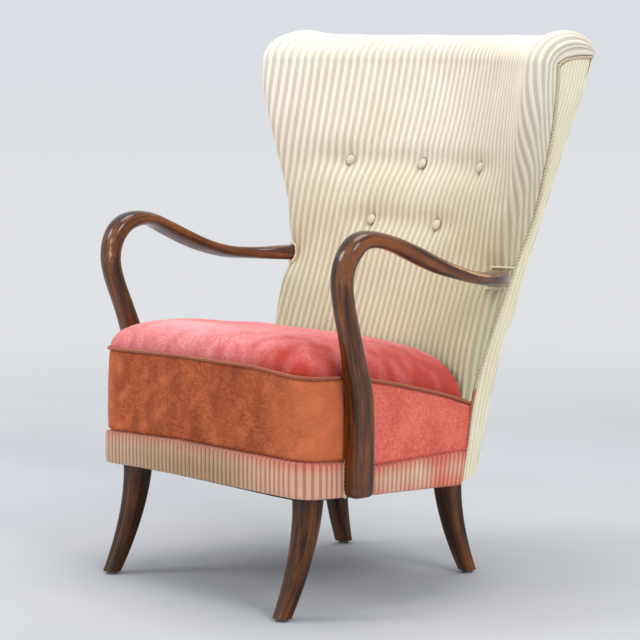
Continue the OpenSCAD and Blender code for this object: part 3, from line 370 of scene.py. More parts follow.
class Tree:
    """Short way to lay out a node tree."""

    def __init__(self, tree):
        self.tree = tree

    def add(self, kind, links=None, **settings):
        node = self.tree.nodes.new("ShaderNode" + kind)
        for key, value in settings.items():
            setattr(node, key, value)
        for key, value in (links or {}).items():
            self.put(node, key, value)
        return node

    def put(self, node, key, value):
        socket = node.inputs[key]
        if isinstance(value, bpy.types.NodeSocket):
            self.tree.links.new(value, socket)
        else:
            socket.default_value = value

    def math(self, operation, *values):
        return self.add("Math", dict(enumerate(values)), operation=operation).outputs[0]

    def times(self, a, b):
        return self.math("MULTIPLY", a, b)

    def plus(self, a, b):
        return self.math("ADD", a, b)

    def blend(self, share, a, b, kind="MIX"):
        return self.add("Mix", {0: share, 6: a, 7: b}, data_type="RGBA", blend_type=kind).outputs[2]

    def tint(self, base, code, mask, share, kind="MIX"):
        """The base with a colour laid over it where the mask says, by a share."""
        return self.blend(self.times(mask, share), base, colour(code), kind)

    def ramp(self, value, low, high, out_low=0.0, out_high=1.0):
        links = {0: value, 1: low, 2: high, 3: out_low, 4: out_high}
        return self.add("MapRange", links, interpolation_type="SMOOTHSTEP").outputs[0]

    def mark(self, name):
        return self.add("Attribute", attribute_name=name).outputs["Fac"]

    def place(self):
        return self.add("TexCoord").outputs["Object"]

    def noise(self, place, scale, detail=3.0, rough=0.5, stretch=None, warp=0.0):
        if stretch is not None:
            place = self.add("Mapping", {"Vector": place, "Scale": stretch}).outputs[0]
        return self.add("TexNoise", {"Vector": place, "Scale": scale, "Detail": detail,
                                     "Roughness": rough, "Distortion": warp}).outputs[0]

    def group(self, group, **values):
        node = self.add("Group", node_tree=group)
        for key, value in values.items():
            self.put(node, key, value)
        return node.outputs


class Group(Tree):
    """A shader group that several finishes share."""

    def __init__(self, name, inputs, outputs):
        super().__init__(bpy.data.node_groups.new(name, "ShaderNodeTree"))
        new_socket = self.tree.interface.new_socket
        for label, kind, value in inputs:
            socket = new_socket(label, in_out="INPUT", socket_type="NodeSocket" + kind)
            if value is not None:
                socket.default_value = value
        for label in outputs:
            new_socket(label, in_out="OUTPUT", socket_type="NodeSocketFloat")
        self.given = self.tree.nodes.new("NodeGroupInput").outputs
        self.result = self.tree.nodes.new("NodeGroupOutput")

    def give(self, **results):
        for label, value in results.items():
            self.put(self.result, label, value)
        return self.tree


class Finish(Tree):
    """A material with its shader; fixed values are alike all over the surface."""

    def __init__(self, name, **fixed):
        self.material = bpy.data.materials.new(name)
        self.material.use_nodes = True
        super().__init__(self.material.node_tree)
        self.shader = next(n for n in self.tree.nodes if n.type == "BSDF_PRINCIPLED")
        for key, value in fixed.items():
            self.shader.inputs[key.replace("_", " ")].default_value = value

    def marked(self, base, marks):
        """The base with a colour laid over it at each of the piece's own marks."""
        for mark, code, share, kind in marks:
            base = self.tint(base, code, self.mark(mark), share, kind)
        return base

    def done(self, base, height, strength, distance):
        """The material, once its colour and its bump are set."""
        self.put(self.shader, "Base Color", base)
        bump = self.add("Bump", {"Height": height, "Strength": strength, "Distance": distance})
        self.put(self.shader, "Normal", bump.outputs[0])
        return self.material


def weave_group():
    """Crossing threads: a height, and a mask of the thread shades."""
    t = Group("woven_threads", [("Across", "Float", 900.0), ("Along", "Float", 900.0),
                                ("Unevenness", "Float", 0.3)], ["Height", "Shade"])
    place = t.place()
    split = t.add("SeparateXYZ", {0: place}).outputs
    flat = t.plus(split["X"], t.times(split["Y"], 0.83))
    shift = t.times(t.noise(place, 60.0, 2.0), t.given["Unevenness"])
    warp = t.math("SINE", t.plus(t.times(flat, t.given["Across"]), t.times(shift, 9.0)))
    weft = t.math("SINE", t.plus(t.times(split["Z"], t.given["Along"]), t.times(shift, 7.0)))
    height = t.plus(t.times(t.times(warp, weft), 0.35), t.noise(place, 420.0, 3.0, 0.7))
    return t.give(Height=height, Shade=t.ramp(height, 0.1, 0.9))


def fading_group():
    """Uneven fading and soiling: a wide mask, and a fine streaky one."""
    t = Group("uneven_fading", [("Scale", "Float", 6.0), ("Stretch", "Vector", (1.0, 1.0, 1.0)),
                                ("Contrast", "Float", 0.2)], ["Wide", "Streaks"])
    place, scale = t.place(), t.given["Scale"]
    low = t.math("SUBTRACT", 0.5, t.given["Contrast"])
    high = t.plus(0.5, t.given["Contrast"])
    wide = t.noise(place, scale, 5.0, 0.6)
    streaks = t.noise(place, t.times(scale, 9.0), 6.0, 0.7, stretch=t.given["Stretch"])
    return t.give(Wide=t.ramp(wide, low, high), Streaks=t.ramp(streaks, low, high))


def grain_group():
    """Grain of beech: long streaks, pores and cloudy stain."""
    t = Group("stained_grain", [("Place", "Vector", None), ("Stretch", "Vector", (1.0, 1.0, 0.08)),
                                ("Scale", "Float", 60.0)], ["Streaks", "Pores", "Cloud", "Height"])
    place, scale = t.given["Place"], t.given["Scale"]
    moved = t.add("Mapping", {"Vector": place, "Scale": t.given["Stretch"]}).outputs[0]
    streaks = t.noise(moved, scale, 6.0, 0.65, warp=0.6)
    pores = t.noise(moved, t.times(scale, 9.0), 3.0, 0.6)
    cloud = t.noise(place, 9.0, 3.0, 0.55)
    return t.give(Streaks=t.ramp(streaks, 0.35, 0.68), Pores=t.ramp(pores, 0.56, 0.70),
                  Cloud=t.ramp(cloud, 0.32, 0.68),
                  Height=t.math("SUBTRACT", t.times(streaks, 0.3), t.times(pores, 0.2)))


WEAVE = weave_group()
FADING = fading_group()
GRAIN = grain_group()


# Finishes

def ribbed_cloth(name, crest, valley, soil, soil_share=0.25, marks=()):
    """Ribbed upholstery cloth: pale crests and valleys painted darker as shade, a fine weave and
    uneven soiling.
    """
    t = Finish(name, Roughness=0.9, Sheen_Weight=0.2, Sheen_Roughness=0.6, Specular_IOR_Level=0.2)
    weave = t.group(WEAVE, Across=2600.0, Along=2600.0)
    fading = t.group(FADING, Scale=5.0, Stretch=(1.0, 1.0, 0.25), Contrast=0.22)
    # The rib mark paints the valleys darker, as the shade that falls in them.
    base = t.blend(t.ramp(t.mark("rib"), 0.05, 0.55), colour(valley), colour(crest))
    base = t.tint(base, soil, fading["Wide"], soil_share, "MULTIPLY")
    base = t.tint(base, soil, fading["Streaks"], soil_share * 0.6, "MULTIPLY")
    base = t.tint(base, "FFFFFF", weave["Shade"], 0.10, "SCREEN")
    return t.done(t.marked(base, marks), weave["Height"], 0.35, 0.0006)


def velvet(name, pile, light, dark, scale, stretch, sheen, marks):
    """Worn velvet: pile that shades light and dark, in wide patches, streaks and fine tufts."""
    t = Finish(name, Roughness=0.85, Sheen_Weight=sheen, Sheen_Roughness=0.45,
               Sheen_Tint=colour(light), Specular_IOR_Level=0.25)
    fading = t.group(FADING, Scale=scale, Stretch=stretch, Contrast=0.16)
    fine = t.group(FADING, Scale=scale * 3.0, Stretch=stretch, Contrast=0.25)
    base = t.tint(colour(pile), dark, fading["Wide"], 0.75)
    base = t.tint(base, light, fading["Streaks"], 0.35)
    base = t.tint(base, dark, fine["Wide"], 0.35)
    tufts = t.noise(t.place(), 330.0, 4.0, 0.75, stretch=(0.55, 0.55, 1.0))
    base = t.tint(base, dark, t.ramp(tufts, 0.44, 0.64), 0.42)
    base = t.tint(base, light, t.ramp(tufts, 0.5, 0.36), 0.35)
    nap = t.noise(t.place(), 900.0, 3.0, 0.8)
    height = t.plus(t.times(nap, 0.6), t.times(fine["Streaks"], 0.4))
    return t.done(t.marked(base, marks), height, 0.4, 0.0007)


def cord_cloth(name, strand, groove, foot=None):
    """Twisted cord with the grooves between its strands painted dark as shade; foot gives the
    heights, in metres, below which it has other colours.
    """
    t = Finish(name, Roughness=0.8, Sheen_Weight=0.2, Specular_IOR_Level=0.3)
    lobe = t.ramp(t.mark("rib"), 0.1, 0.8)
    fuzz = t.noise(t.place(), 1400.0, 3.0, 0.7)
    # The rib mark paints the grooves between the strands dark, as shade.
    base = t.blend(lobe, colour(groove), colour(strand))
    base = t.tint(base, groove, t.ramp(fuzz, 0.4, 0.65), 0.3, "MULTIPLY")
    if foot:
        low, high, foot_strand, foot_groove = foot
        height = t.add("SeparateXYZ", {0: t.place()}).outputs["Z"]
        dyed = t.blend(lobe, colour(foot_groove), colour(foot_strand))
        base = t.blend(t.ramp(height, low, high), dyed, base)
    return t.done(base, fuzz, 0.3, 0.0005)


def stained_wood(name, dark, warm, worn, gloss, wear_share=1.0):
    """Dark stained and polished wood with its grain along the piece, worn through on its edges.
    The marks across, deep and run place a point in the wood before it was bent, in metres."""
    t = Finish(name, Coat_Weight=gloss, Coat_Roughness=0.09, Specular_IOR_Level=0.15)
    marks = {0: t.mark("across"), 1: t.mark("deep"), 2: t.mark("run")}
    place = t.add("CombineXYZ", marks).outputs[0]
    grain = t.group(GRAIN, Place=place, Stretch=(1.0, 1.0, 0.07), Scale=70.0)
    base = t.blend(grain["Streaks"], colour(dark), colour(warm))
    base = t.tint(base, dark, grain["Cloud"], 0.6)
    base = t.tint(base, "1A0D06", grain["Pores"], 0.55)
    chips = t.noise(place, 150.0, 4.0, 0.65, stretch=(1.0, 1.0, 0.35))
    patch = t.noise(t.place(), 24.0, 3.0, 0.6)
    wear = t.plus(t.mark("wear"), t.plus(t.times(chips, 0.7), t.times(patch, 0.7)))
    base = t.tint(base, "8A5230", t.ramp(wear, 0.98, 1.24), wear_share * 0.55)
    bare = t.times(t.ramp(wear, 1.25, 1.36), wear_share)
    base = t.blend(bare, base, colour(worn))
    polish = t.ramp(grain["Cloud"], 0.0, 1.0, 0.28, 0.42)
    t.put(t.shader, "Roughness", t.plus(t.times(bare, 0.3), polish))
    height = t.math("SUBTRACT", grain["Height"], t.times(bare, 0.5))
    return t.done(base, height, 0.25, 0.0006)


def raw_wood(name, pale, deep, pore):
    t = Finish(name, Specular_IOR_Level=0.3)
    grain = t.group(GRAIN, Place=t.place(), Stretch=(0.08, 1.0, 1.0), Scale=45.0)
    base = t.blend(grain["Streaks"], colour(pale), colour(deep))
    t.put(t.shader, "Roughness", t.ramp(grain["Cloud"], 0.0, 1.0, 0.6, 0.8))
    return t.done(t.tint(base, pore, grain["Pores"], 0.4), grain["Height"], 0.3, 0.0006)


def dull_steel(name, bare, rust):
    t = Finish(name, Metallic=1.0)
    spots = t.ramp(t.noise(t.place(), 240.0, 4.0, 0.7), 0.48, 0.62)
    t.put(t.shader, "Roughness", t.ramp(spots, 0.0, 1.0, 0.35, 0.7))
    return t.done(t.blend(spots, colour(bare), colour(rust)), spots, 0.2, 0.0003)


def coarse_cloth(name, thread, hole, count):
    """Open jute or hessian cloth."""
    t = Finish(name, Roughness=0.95, Specular_IOR_Level=0.1)
    weave = t.group(WEAVE, Across=count, Along=count, Unevenness=0.8)
    base = t.blend(weave["Shade"], colour(hole), colour(thread))
    base = t.tint(base, hole, t.noise(t.place(), 60.0, 4.0, 0.7), 0.35, "MULTIPLY")
    return t.done(base, weave["Height"], 0.6, 0.001)


def wadding(name, pale, deep):
    t = Finish(name, Roughness=1.0, Specular_IOR_Level=0.1)
    curls = t.noise(t.place(), 180.0, 6.0, 0.8, warp=2.0)
    base = t.blend(t.ramp(curls, 0.35, 0.65), colour(deep), colour(pale))
    return t.done(base, curls, 0.8, 0.002)


# The button mark on the back cloth paints shade in the groove round each button's rim, with a
# fainter halo of grime.
cream_ribs = ribbed_cloth(
    "cream_ribbed_cloth", "FCF5E6", "D6CEB9", "DCCFAE",
    marks=[("grey", "DAD5BC", 0.9, "MULTIPLY"), ("low", "EEF5F0", 0.9, "MULTIPLY"),
           ("button_rim_shade_and_grime", "7A6A52", 0.6, "MIX")])
side_ribs = ribbed_cloth("yellowed_ribbed_cloth", "F6EFD2", "E2D9B8", "DCCFA4")
# The band's seam mark paints a dark red shadow along its top edge, under the velvet border.
band_ribs = ribbed_cloth(
    "stained_ribbed_cloth", "EACBAA", "B98F76", "C99C7C", 0.3,
    [("rose", "FF8676", 0.85, "MULTIPLY"), ("green", "C0B48A", 0.75, "MULTIPLY"),
     ("seam", "A8503E", 0.55, "MIX")])
button_cloth = ribbed_cloth("button_cloth", "DED6BC", "CDC3A8", "CDB98F")
# The coral velvet's pale mark paints a highlight on the front left of the seat's top.
seat_velvet = velvet("coral_velvet", "DC8082", "F6B5B5", "CC5A55", 11.0, (1.0, 1.0, 1.0), 0.3,
                     [("deep", "AC2C16", 0.92, "MIX"), ("pale", "FBC0C2", 0.5, "MIX")])
front_velvet = velvet("rust_velvet", "BA5427", "DC8858", "82300F", 12.0, (0.8, 0.8, 1.2), 0.15,
                      [("deep", "5E1E04", 0.9, "MIX"), ("pale", "E47E52", 0.7, "MIX")])
side_velvet = velvet("rose_velvet", "E87061", "FFA08C", "D15242", 14.0, (1.0, 1.0, 0.8), 0.2,
                     [("deep", "C04A40", 0.4, "MIX")])
rust_cord = cord_cloth("rust_twisted_cord", "BE6A48", "481509")
cream_cord = cord_cloth("cream_twisted_cord", "EFE0C0", "937A52",
                        (0.352, 0.366, "C97462", "74291F"))
collar_cord = cord_cloth("pale_twisted_cord", "F6E8CC", "A08864")
arm_wood = stained_wood("polished_arm_wood", "2A1304", "94501C", "C39C6A", 0.68)
leg_wood = stained_wood("dark_leg_wood", "241206", "844C22", "9A6B44", 0.28, 0.45)
rail_wood = raw_wood("beech_frame_wood", "D9B98A", "B98F5E", "6B4A2A")
steel = dull_steel("dull_steel", "8C8C8E", "6A4A38")
spring_steel = dull_steel("spring_steel", "6E6A66", "5A3A2A")
jute = coarse_cloth("jute_webbing", "B08E5C", "6B4F2E", 1500.0)
hessian = coarse_cloth("hessian", "B39A6C", "6E5836", 2200.0)
# The dust cloth is a real cloth, coloured dark as painted shade so that its rim below the front
# band reads as a shadow line.
dust_cloth_dark_as_shadow = coarse_cloth("dust_cloth_dark_as_shadow", "57493A", "33291F", 3200.0)
fibre = wadding("stuffing_fibre", "8A6F50", "4A3826")


# Seat

# How far the worn seat's piping has risen or sunk from its drawn line: places across the front, or
# distances d along the sides, and heights there. The front's share dies away over a reach.
FRONT_SETTLED = [-283, -45, 156, 283], [-3, 7, 8, -1]
SIDE_SETTLED = [20, 105, 160, 270, 434], [0, -2, -4.5, -10, -10]
SETTLED_REACH = 90


def seat_side(d):
    """Half width of the seat."""
    d = np.asarray(d, float)
    corner = SEAT_BOW_X + np.sqrt(np.maximum(SEAT_CORNER_R ** 2 - (SEAT_CORNER_D - d) ** 2, 0))
    rear = SEAT_HALF_W - SEAT_DRAW_IN * np.maximum(0, (d - SEAT_KNEE) / (SEAT_REAR - SEAT_KNEE))
    return np.where(d < SEAT_CORNER_D, corner, rear)


def seat_low(d):
    return SEAT_LOW_Z - SEAT_FALL * np.asarray(d, float)


def settled(x, d):
    side_share = np.minimum(np.abs(x) / seat_side(d), 1) ** 4
    behind = np.maximum(np.asarray(d, float) - SEAT_FRONT, 0)
    front = np.interp(x, *FRONT_SETTLED) * np.exp(-(behind / SETTLED_REACH) ** 2)
    return front + np.interp(d, *SIDE_SETTLED) * side_share


def seat_pipe_z(d, x):
    behind = np.maximum(0, np.asarray(d, float) - SEAT_FRONT)
    return PIPE_Z - SEAT_PIPE_FALL * (behind / SEAT_DEPTH) ** 2 + settled(x, d)


def band_top(d):
    return SEAT_LOW_Z + BAND_H - BAND_FALL * np.minimum(np.asarray(d, float) / SEAT_KNEE, 1)


# Back

def profile(start, size, shares):
    """A line up the back: a start, and a size times shares at even steps of the height."""
    return lambda t: start + size * along(shares, t)


crest_x = profile(0, WING_HALF_W, [0.690, 0.698, 0.704, 0.712, 0.726, 0.740,
                                   0.777, 0.848, 0.905, 0.951, 0.970])
pipe_x = profile(0, WING_HALF_W, [0.723, 0.726, 0.734, 0.750, 0.772, 0.788,
                                  0.823, 0.880, 0.938, 0.984, 1.000])
rear_x = profile(0, WING_HALF_W, [0.679, 0.696, 0.715, 0.734, 0.758, 0.772,
                                  0.799, 0.837, 0.880, 0.924, 0.935])
rear_d = profile(BACK_FOOT, BACK_RUN, [0.00, 0.05, 0.12, 0.21, 0.34, 0.47,
                                       0.59, 0.69, 0.78, 0.885, 1.00])
pipe_d = profile(BACK_FOOT, BACK_RUN, [-0.29, -0.22, -0.16, -0.03, 0.11, 0.28,
                                       0.43, 0.445, 0.435, 0.40, 0.38])
crest_d = profile(BACK_FOOT, BACK_RUN, [-0.40, -0.34, -0.27, -0.20, -0.08, 0.05,
                                        0.10, 0.115, 0.07, 0.05, 0.08])
middle_d = profile(BACK_FOOT, BACK_RUN, [-0.25, -0.22, -0.19, -0.136, 0.00, 0.13,
                                         0.27, 0.44, 0.60, 0.72, 0.80])
nose_r = profile(0, WING_NOSE_R, [0.55, 0.58, 0.60, 0.64, 0.73, 0.82, 0.91, 0.96, 1.00, 1.00, 1.00])


def back_z(t):
    return BACK_LOW_Z + BACK_RISE * t


def back_t(z):
    return (z - BACK_LOW_Z) / BACK_RISE


def outside_d(x, t):
    return rear_d(t) + BACK_BOW * (1 - np.minimum(np.abs(x) / rear_x(t), 1) ** 3)


def ear_z(s):
    """Height of the side seam over the roll, at a share s of the way from front to rear."""
    return back_z(ROLL_SHARE) + EAR_RISE * (1 - (1 - np.asarray(s, float)) ** EAR_BEND) ** 0.6


def pinch(x, z, cx, cz, spread):
    return np.exp(-((x - cx) ** 2 + (z - cz) ** 2) / spread ** 2)


def press(x, z):
    """How far the buttons, the creases between them and the arms' ends press the padding in."""
    deep = [TUFT_DEPTH * pinch(x, z, share * WING_HALF_W, back_z(t), TUFT_SPREAD)
            for share, t in BUTTONS]
    for t, reach in CREASES:
        end = np.maximum(np.abs(x) - reach * WING_HALF_W, 0)
        fade = ((z - back_z(t)) / CREASE_SPREAD) ** 2
        deep.append(CREASE_DEPTH * np.exp(-fade - (end / CREASE_END) ** 2))
    arm = pinch(np.abs(x), z, ARM_END_X - ARM_FOOT_W / 3, ARM_END_Z, ARM_PRESS_SPREAD)
    return np.max(deep, axis=0) + ARM_PRESS * arm


def half_face(t, q, pressed=True):
    """Half of the padded face at a height: q is 0 in the middle, 1 at the wing's crest, 2 round its
    edge and 2 + SEAM_Q at the side seam. Gives x and d."""
    r, cx = nose_r(t), crest_x(t)
    cd = crest_d(t) + r
    lean = np.arctan((middle_d(t) - crest_d(t)) * FACE_POWER / cx)
    nx, nd = cx - r * np.sin(lean), cd - r * np.cos(lean)
    s = np.minimum(q, 1)
    turn = -lean + (NOSE_TURN + lean) * np.clip(q - 1, 0, 1)
    x = np.where(q > 1, cx + r * np.sin(turn), s * nx)
    d = np.where(q > 1, cd - r * np.cos(turn), mix(middle_d(t), nd, s ** FACE_POWER))
    push = press(x, back_z(t)) if pressed else 0 * x
    d = d + push
    x = x - np.where(q > 1, push / 3, 0)
    limit = pipe_d(t) - CORD_SEAT - SEAM_ROOM * np.clip(2 - q, 0, 1)
    d = np.where(q > 1, np.minimum(d, limit), d)
    seam = np.clip((q - 2) / SEAM_Q, 0, 1)
    return mix(x, pipe_x(t), seam), mix(d, pipe_d(t) - CORD_SEAT - GAP, seam)


def face_row(t, cols):
    """Row of the face at a height, with columns evenly along the cloth as it was cut; also the
    columns' q, and their places along the cloth."""
    q = np.concatenate([np.linspace(0, 1, 120), np.linspace(1, 2, 80)[1:],
                        np.linspace(2, 2 + SEAM_Q, 8)[1:]])
    flat_x, flat_d = half_face(t, q, False)
    run = summed(np.hypot(np.diff(flat_x), np.diff(flat_d)))
    x, d = half_face(t, q)
    where = np.linspace(-1, 1, cols) * run[-1]
    away, side = np.abs(where), np.sign(where)
    points = xyz(np.interp(away, run, x) * side, at(np.interp(away, run, d)), back_z(t))
    return points, np.interp(away, run, q) * side, where


def roll_row(angle, row, qs):
    """The top roll carries the face over to the outside back."""
    side = np.sign(qs)
    q = np.abs(qs)
    f = np.minimum(q, 1)
    nose = np.where(q > 2, 0.8 + 0.8 * (q - 2), 0.8 * np.clip(q - 1, 0, 1))
    s = (1 - math.cos(angle)) / 2
    x_end = side * (f * (float(rear_x(1.0)) - 2 * CORD_R) + nose * 2 * CORD_R)
    swell = f ** 12
    rise = ROLL_H * (1 + EAR_SWELL * swell) * np.maximum(np.cos(math.pi / 2 * nose), 0) ** 0.6
    return xyz(mix(row[:, 0], x_end, s) + side * EAR_SWELL * ROLL_H / 2 * swell * math.sin(angle),
               mix(row[:, 1], at(outside_d(x_end, 1.0)), s),
               row[:, 2] - back_z(ROLL_SHARE) + ear_z(s) + rise * math.sin(angle))


def make_back_cover():
    cols, levels, roll_steps = 561, 151, 32
    rows, ribs = [], []
    for t in np.linspace(BACK_COVER_LOW, ROLL_SHARE, levels):
        row, qs, run = face_row(t, cols)
        rows.append(row)
        ribs.append(run)
    front = rows[-1]
    for angle in np.linspace(0, math.pi, roll_steps + 1)[1:]:
        rows.append(roll_row(angle, front, qs))
        ribs.append(run)
    face = np.array(rows)
    x, z = face[..., 0], face[..., 2]
    normal = grid_normals(face)
    height = ridge(np.array(ribs) + 0.6 * waves(3, x, z, 160, stretch=2), RIB_PITCH)
    edge = 1 - smooth(0.965, 1.0, np.abs(np.linspace(-1, 1, cols)))[None, :]
    lift = (height * (RIB_CREST + RIB_VALLEY) - RIB_VALLEY) * edge
    lift += 0.7 * waves(4, x, z, 90) * edge
    # Marks: painted shade in the groove round each button's rim with a fainter halo of grime round
    # it, a paler foot, and greyer towards the foot and the right wing.
    away = np.min([np.hypot(x - share * WING_HALF_W, z - back_z(t))
                   for share, t in BUTTONS], axis=0)
    button_rim_shade_and_grime = np.exp(-((away - BUTTON_D / 2) / 2.2) ** 2) + 0.35 * np.exp(-(away / 16) ** 2)
    low = 1 - smooth(400, 640, z)
    grey = np.clip(0.75 - 0.75 * smooth(560, 900, z) + 0.25 * smooth(0, 260, x), 0, 1)
    made = shell("back_cover_ribbed", face + normal * lift[..., None], face - normal * PANEL_T, 4,
                 cream_ribs, {"rib": height, "button_rim_shade_and_grime": button_rim_shade_and_grime, "low": low, "grey": grey})
    seated(made, "cream_rib_cloth", "back_cover")


make_back_cover()


# Seat cover

def back_face_d(x, t):
    share = np.minimum(np.abs(x) / crest_x(t), 1)
    return mix(middle_d(t), crest_d(t), share ** FACE_POWER)


def seat_sheet(shares, across, drop):
    """Crowned top of the seat at shares of its depth and places across from -1 to 1."""
    s = shares[:, None]
    place = across[None, :]
    d0 = mix(SEAT_FRONT, SEAT_REAR, s)
    x = seat_side(d0 + SEAT_BOW) * place
    rear = np.min([back_face_d(x, t) for t in SEAT_LEVELS_BEHIND], axis=0) - SEAT_BACK_GAP
    d = d0 + SEAT_BOW * place ** 2 * (1 - s) + (rear - SEAT_REAR) * s ** 3
    crown = mix(SEAT_CROWN_FRONT, SEAT_CROWN_REAR, (d - SEAT_FRONT) / SEAT_DEPTH)
    bulge = np.maximum(1 - np.abs(place) ** mix(*CROWN_SQUARE, s), 0) ** mix(*CROWN_ROUND, s)
    fade = (1 - (1 - np.minimum(s / CROWN_START, 1)) ** 3) ** 0.5
    return xyz(x, at(d), seat_pipe_z(d, x) + CORD_SEAT + crown * bulge * fade - drop)


def make_seat_cover():
    shares = np.linspace(0, 1, 121) ** 1.35
    across = np.sin(math.pi / 2 * np.linspace(-1, 1, 161))
    top = seat_sheet(shares, across, 0)
    x, y = top[..., 0], top[..., 1]
    behind = y - y.min()
    edge = smooth(0, 0.04, shares)[:, None] * (1 - smooth(0.93, 1, np.abs(across)))[None, :]
    pulls = waves(11, x + 0.3 * y, y, 12, 16, stretch=6) * np.exp(-behind / 55) * 0.8
    sag = waves(12, x, y, 150, 8) * 1.6
    creases = np.maximum(waves(13, x + 0.8 * y, y - 0.2 * x, 60, 8, stretch=3) - 0.9, 0) * -1.4
    outer = top + grid_normals(top) * ((pulls + sag + creases) * edge)[..., None]
    # Marks: deeper red at the right and the rear, and a painted highlight on the front left of the
    # top.
    deep = smooth(90, 250, x) * (0.75 + 0.3 * smooth(0.3, 0.9, shares)[:, None])
    deep = np.clip(deep + (1 - smooth(0, 60, behind)) * 0.2 + 0.25 * waves(14, x, y, 45, 12), 0, 1)
    pale = np.exp(-((x + 90) / 130) ** 2 - ((y + 270) / 40) ** 2)
    made = shell("seat_cover_velvet", outer, seat_sheet(shares, across, CLOTH_T), 4, seat_velvet,
                 {"deep": deep, "pale": pale})
    seated(made, "coral_velvet", "seat_cover")


make_seat_cover()


# Strips round the seat

# How far the band has sunk or risen on its way round: places, and heights there.
BAND_FOOT_FRONT = [-290, -171, -45, 80], [-7, -1, 2, 2.5]
BAND_HEAD_FRONT = [-290, -45, 230], [-7, 5, 6]
BAND_FOOT_SIDE = [105, 160, 270, 434], [1.5, 2.5, 1, 0]
BAND_HEAD_SIDE = [105, 160, 434], [-2, -6.5, -7.5]
BAND_STEPS = 21
# Where the front's pile is worn dark: place across, height, how wide and tall, how strong.
FRONT_DARK = [(-178, 368, 60, 30, 0.9), (24, 350, 48, 36, 1.0), (-95, 335, 50, 30, 0.4),
              (-200, 292, 110, 12, 0.6), (110, 300, 30, 30, 0.4)]


def front_path(side_end, out, step=1.5):
    """Line round the front of the seat in plan, from arm to arm, and its outward direction."""
    xs = np.linspace(0, 1, 60)
    half = np.stack([SEAT_BOW_X * xs, SEAT_FRONT + SEAT_BOW * xs ** 2], -1)
    turn = np.linspace(0, math.pi / 2, 50)[1:]
    corner = np.stack([SEAT_BOW_X + SEAT_CORNER_R * np.sin(turn),
                       SEAT_CORNER_D - SEAT_CORNER_R * np.cos(turn)], -1)
    straight = np.stack([np.full(20, SEAT_HALF_W),
                         np.linspace(SEAT_CORNER_D, side_end, 21)[1:]], -1)
    right = np.concatenate([half, corner, straight])
    line, where = spaced(np.concatenate([right[:0:-1] * [-1, 1], right]), step, math.floor)
    ahead = np.gradient(line, axis=0)
    outward = np.stack([ahead[:, 1], -ahead[:, 0]], -1)
    outward /= np.linalg.norm(outward, axis=1, keepdims=True)
    return line + outward * out, outward, where - where[-1] / 2


def strip(name, foot, head, outward, thick_low, thick_high, lift, material, marks, flip=False,
          swell=1.0):
    """Cloth strip between a lower and an upper line of points: thick outward, its face lifted."""
    steps = lift.shape[1]
    skip = max(1, (steps - 1) // 4)
    v = np.linspace(0, 1, steps)[None, :, None]
    span = np.linalg.norm(head - foot, axis=1)[:, None, None]
    face = mix(foot[:, None, :], head[:, None, :], v)
    thick = mix(np.reshape(thick_low, (-1, 1, 1)), np.reshape(thick_high, (-1, 1, 1)), v)
    ends = np.minimum(v, 1 - v) * span
    round_off = np.sqrt(np.clip(1 - (1 - np.clip(ends / STRIP_ROLL, 0, 1)) ** 2, 0, 1))
    bulge = swell * np.sin(math.pi * v)
    front = face + outward[:, None, :] * (thick * round_off + (bulge + lift[..., None]) * round_off)
    back = face[:, ::-1][:, ::skip][:, 1:-1]
    full = {}
    for key, values in marks.items():
        values = np.broadcast_to(values, lift.shape)
        full[key] = np.concatenate([values, values[:, ::-1][:, ::skip][:, 1:-1]], axis=1)
    return sweep(name, np.concatenate([front, back], axis=1), material, full, flip=flip, sharp=60)


def band_face(place):
    """Ribs of the band at places along it, their fade at its edges, and the mask of a painted
    shadow along its top seam.
    """
    v = np.linspace(0, 1, BAND_STEPS)[None, :]
    height = ridge(place, BAND_PITCH, 1.2)[:, None] * np.ones(BAND_STEPS)
    fade = smooth(0.0, 0.08, v) * (1 - smooth(0.93, 1.0, v) * 0.6)
    return v, height, fade, smooth(0.9, 1.0, v)


